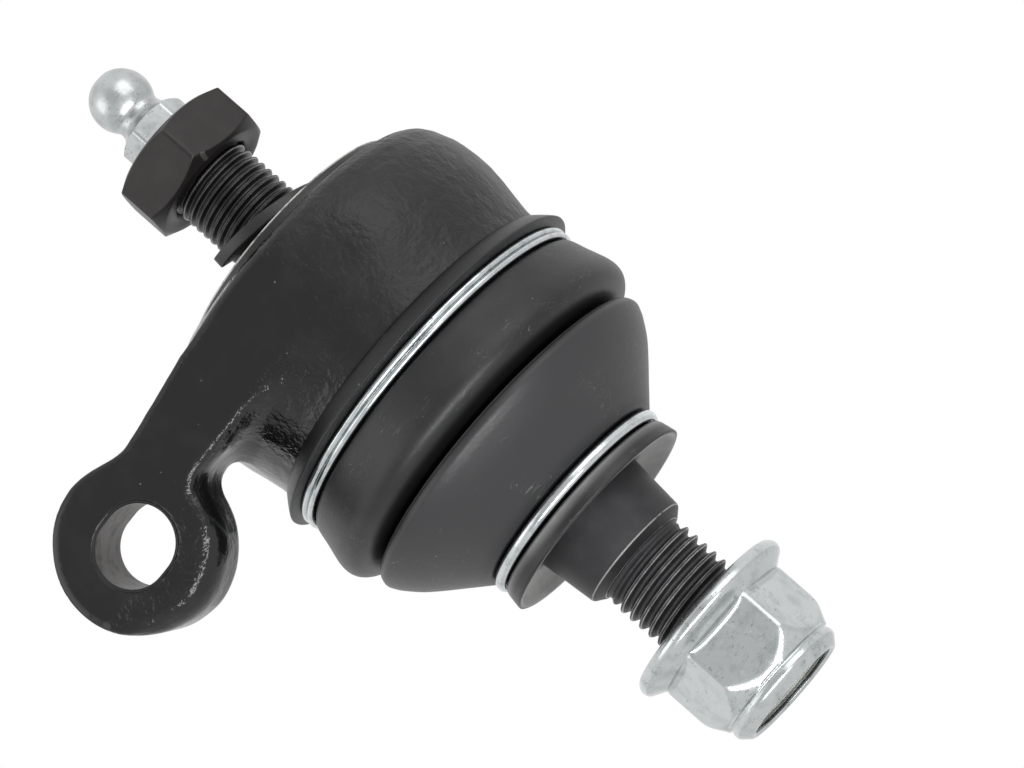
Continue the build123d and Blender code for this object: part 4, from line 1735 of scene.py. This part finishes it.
@dataclass(frozen=True)
class SoftBox:
    """A soft lamp: its direction from the part, its distance and size in metres, and its power."""

    name: str
    towards: Point
    distance: float
    width: float
    height: float
    power: float

    def build(self) -> None:
        """Places the lamp."""
        data = bpy.data.lights.new(self.name, "AREA")
        data.shape = "RECTANGLE"
        data.size, data.size_y = self.width, self.height
        data.energy = self.power
        lamp = bpy.data.objects.new(self.name, data)
        lamp.visible_camera = False
        way = Vector(self.towards).normalized()
        turn = way.to_track_quat("Z", "Y").to_matrix().to_4x4()
        lamp.matrix_world = Matrix.Translation(way * self.distance) @ turn
        bpy.context.scene.collection.objects.link(lamp)


@dataclass
class Studio:
    """Camera, floor, lamps and surroundings."""

    azimuth: float = 10.3
    below: float = 11.1
    roll: float = -48.8
    distance: float = 461.67
    across: float = 14.15
    up: float = -6.16
    lens: float = 155.8
    floor_z: float = -0.3
    floor_reach: float = 3.0
    floor_white: float = 0.42
    floor_colour: Colour = (0.8, 0.8, 0.8)
    ambient: float = 0.45
    bright_side: float = 1.0
    dark_side: float = 0.66
    dark_way: Point = (0.0, -0.98, 0.1)
    dark_from: float = 0.5
    dark_to: float = 0.86
    lamps: tuple[SoftBox, ...] = (
        SoftBox("key_box", (0.75, -0.6, 0.25), 0.5, 0.4, 0.45, 0.7),
        SoftBox("fill_box", (-0.7, -0.6, 0.5), 0.7, 0.5, 0.5, 0.7),
        SoftBox("low_strip", (0.05, -0.7, -0.55), 0.17, 0.16, 0.03, 0.15),
    )

    def axes(self) -> tuple[Vector, Vector, Vector]:
        """Gives the camera's right, up and back directions.

        Returns:
            The three directions, each of length one.
        """
        a, e, w = (math.radians(v) for v in (self.azimuth, self.below, self.roll))
        back = Vector((math.sin(a) * math.cos(e), -math.cos(a) * math.cos(e), -math.sin(e)))
        right = Vector((math.cos(a), math.sin(a), 0.0))
        up = back.cross(right)
        return right * math.cos(w) + up * math.sin(w), up * math.cos(w) - right * math.sin(w), back

    def camera(self) -> None:
        """Places the camera."""
        right, up, back = self.axes()
        data = bpy.data.cameras.new("camera")
        data.sensor_fit = "HORIZONTAL"
        data.sensor_width = 36.0
        data.lens = self.lens
        data.clip_start, data.clip_end = 0.01, 20.0
        eye = bpy.data.objects.new("camera", data)
        place = (back * self.distance + right * self.across + up * self.up) * MM
        turn = Matrix((right, up, back)).transposed().to_4x4()
        eye.matrix_world = Matrix.Translation(place) @ turn
        bpy.context.scene.collection.objects.link(eye)
        bpy.context.scene.camera = eye

    def surroundings(self) -> None:
        """Sets a white background and an even light, darker on the side the camera stands on."""
        world = bpy.data.worlds.new("studio")
        bpy.context.scene.world = world
        world.use_nodes = True
        tree = world.node_tree
        tree.nodes.clear()

        def mix(share: Value, a: object, b: object) -> Value:
            """Mixes two strengths, from a where the share is 0 to b where it is 1."""
            node = add_node(tree, "Mix", (("Factor", share), ("A", a), ("B", b)))
            return Value(tree, node.outputs["Result"])

        rays = add_node(tree, "LightPath").outputs
        way = Value(tree, add_node(tree, "TexCoord").outputs["Generated"])
        dark = tuple(Vector(self.dark_way).normalized())
        dot = add_node(tree, "VectorMath", enumerate((way, dark)), operation="DOT_PRODUCT")
        facing = Value(tree, dot.outputs["Value"])
        shade = facing.span(self.dark_from, self.dark_to, self.bright_side, self.dark_side)
        mirrored = Value(tree, rays["Is Glossy Ray"]) | Value(tree, rays["Is Transmission Ray"])
        strength = mix(Value(tree, rays["Is Camera Ray"]), mix(mirrored, self.ambient, shade), 1.0)
        glow = add_node(tree, "Background", (("Color", WHITE), ("Strength", strength)))
        add_node(tree, "OutputWorld", [("Surface", Value(tree, glow.outputs[0]))])

    def floor(self) -> None:
        """Lays the pale floor, white where it is seen and soft grey where it is lit."""
        mesh = bpy.data.meshes.new("floor")
        ends = (-self.floor_reach, self.floor_reach)
        corners = [(x, y, self.floor_z) for y in ends for x in ends]
        mesh.from_pydata(corners, [], [[0, 1, 3, 2]])
        floor = bpy.data.objects.new("floor", mesh)
        bpy.context.scene.collection.objects.link(floor)
        paper = Nodes("floor_paper")
        shade = tuple(0.97 * v for v in self.floor_colour)
        tone = paper.blend(paper.noise(40.0, 2.0), self.floor_colour, shade)
        rays = add_node(paper.tree, "LightPath").outputs
        seen = Value(paper.tree, rays["Is Camera Ray"])
        for ray in ("Is Glossy Ray", "Is Transmission Ray"):
            seen = seen | Value(paper.tree, rays[ray])
        put(paper.shader.inputs["Emission Color"], WHITE)
        put(paper.shader.inputs["Emission Strength"], seen * self.floor_white)
        mesh.materials.append(paper.finish(tone, 0.7, 0.0, Specular_IOR_Level=0.2))

    def build(self) -> None:
        """Sets up the whole studio."""
        bpy.context.scene.view_settings.view_transform = "Standard"
        self.camera()
        self.surroundings()
        self.floor()
        for lamp in self.lamps:
            lamp.build()


def main() -> None:
    """Builds the ball joint from the housing outward."""
    logging.basicConfig(level=logging.INFO, format="%(name)s: %(message)s")
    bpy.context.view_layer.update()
    Studio().build()
    for part in (
        ForgedHousing(),
        StubCover(),
        SpringWasher(),
        JamNut(),
        GreaseNipple(),
        Bearing(),
        BallStud(),
        DustBoot(),
        LockNut(),
    ):
        part.build()
        LOG.info("%s is done", type(part).__name__)


if __name__ == "__main__":
    main()
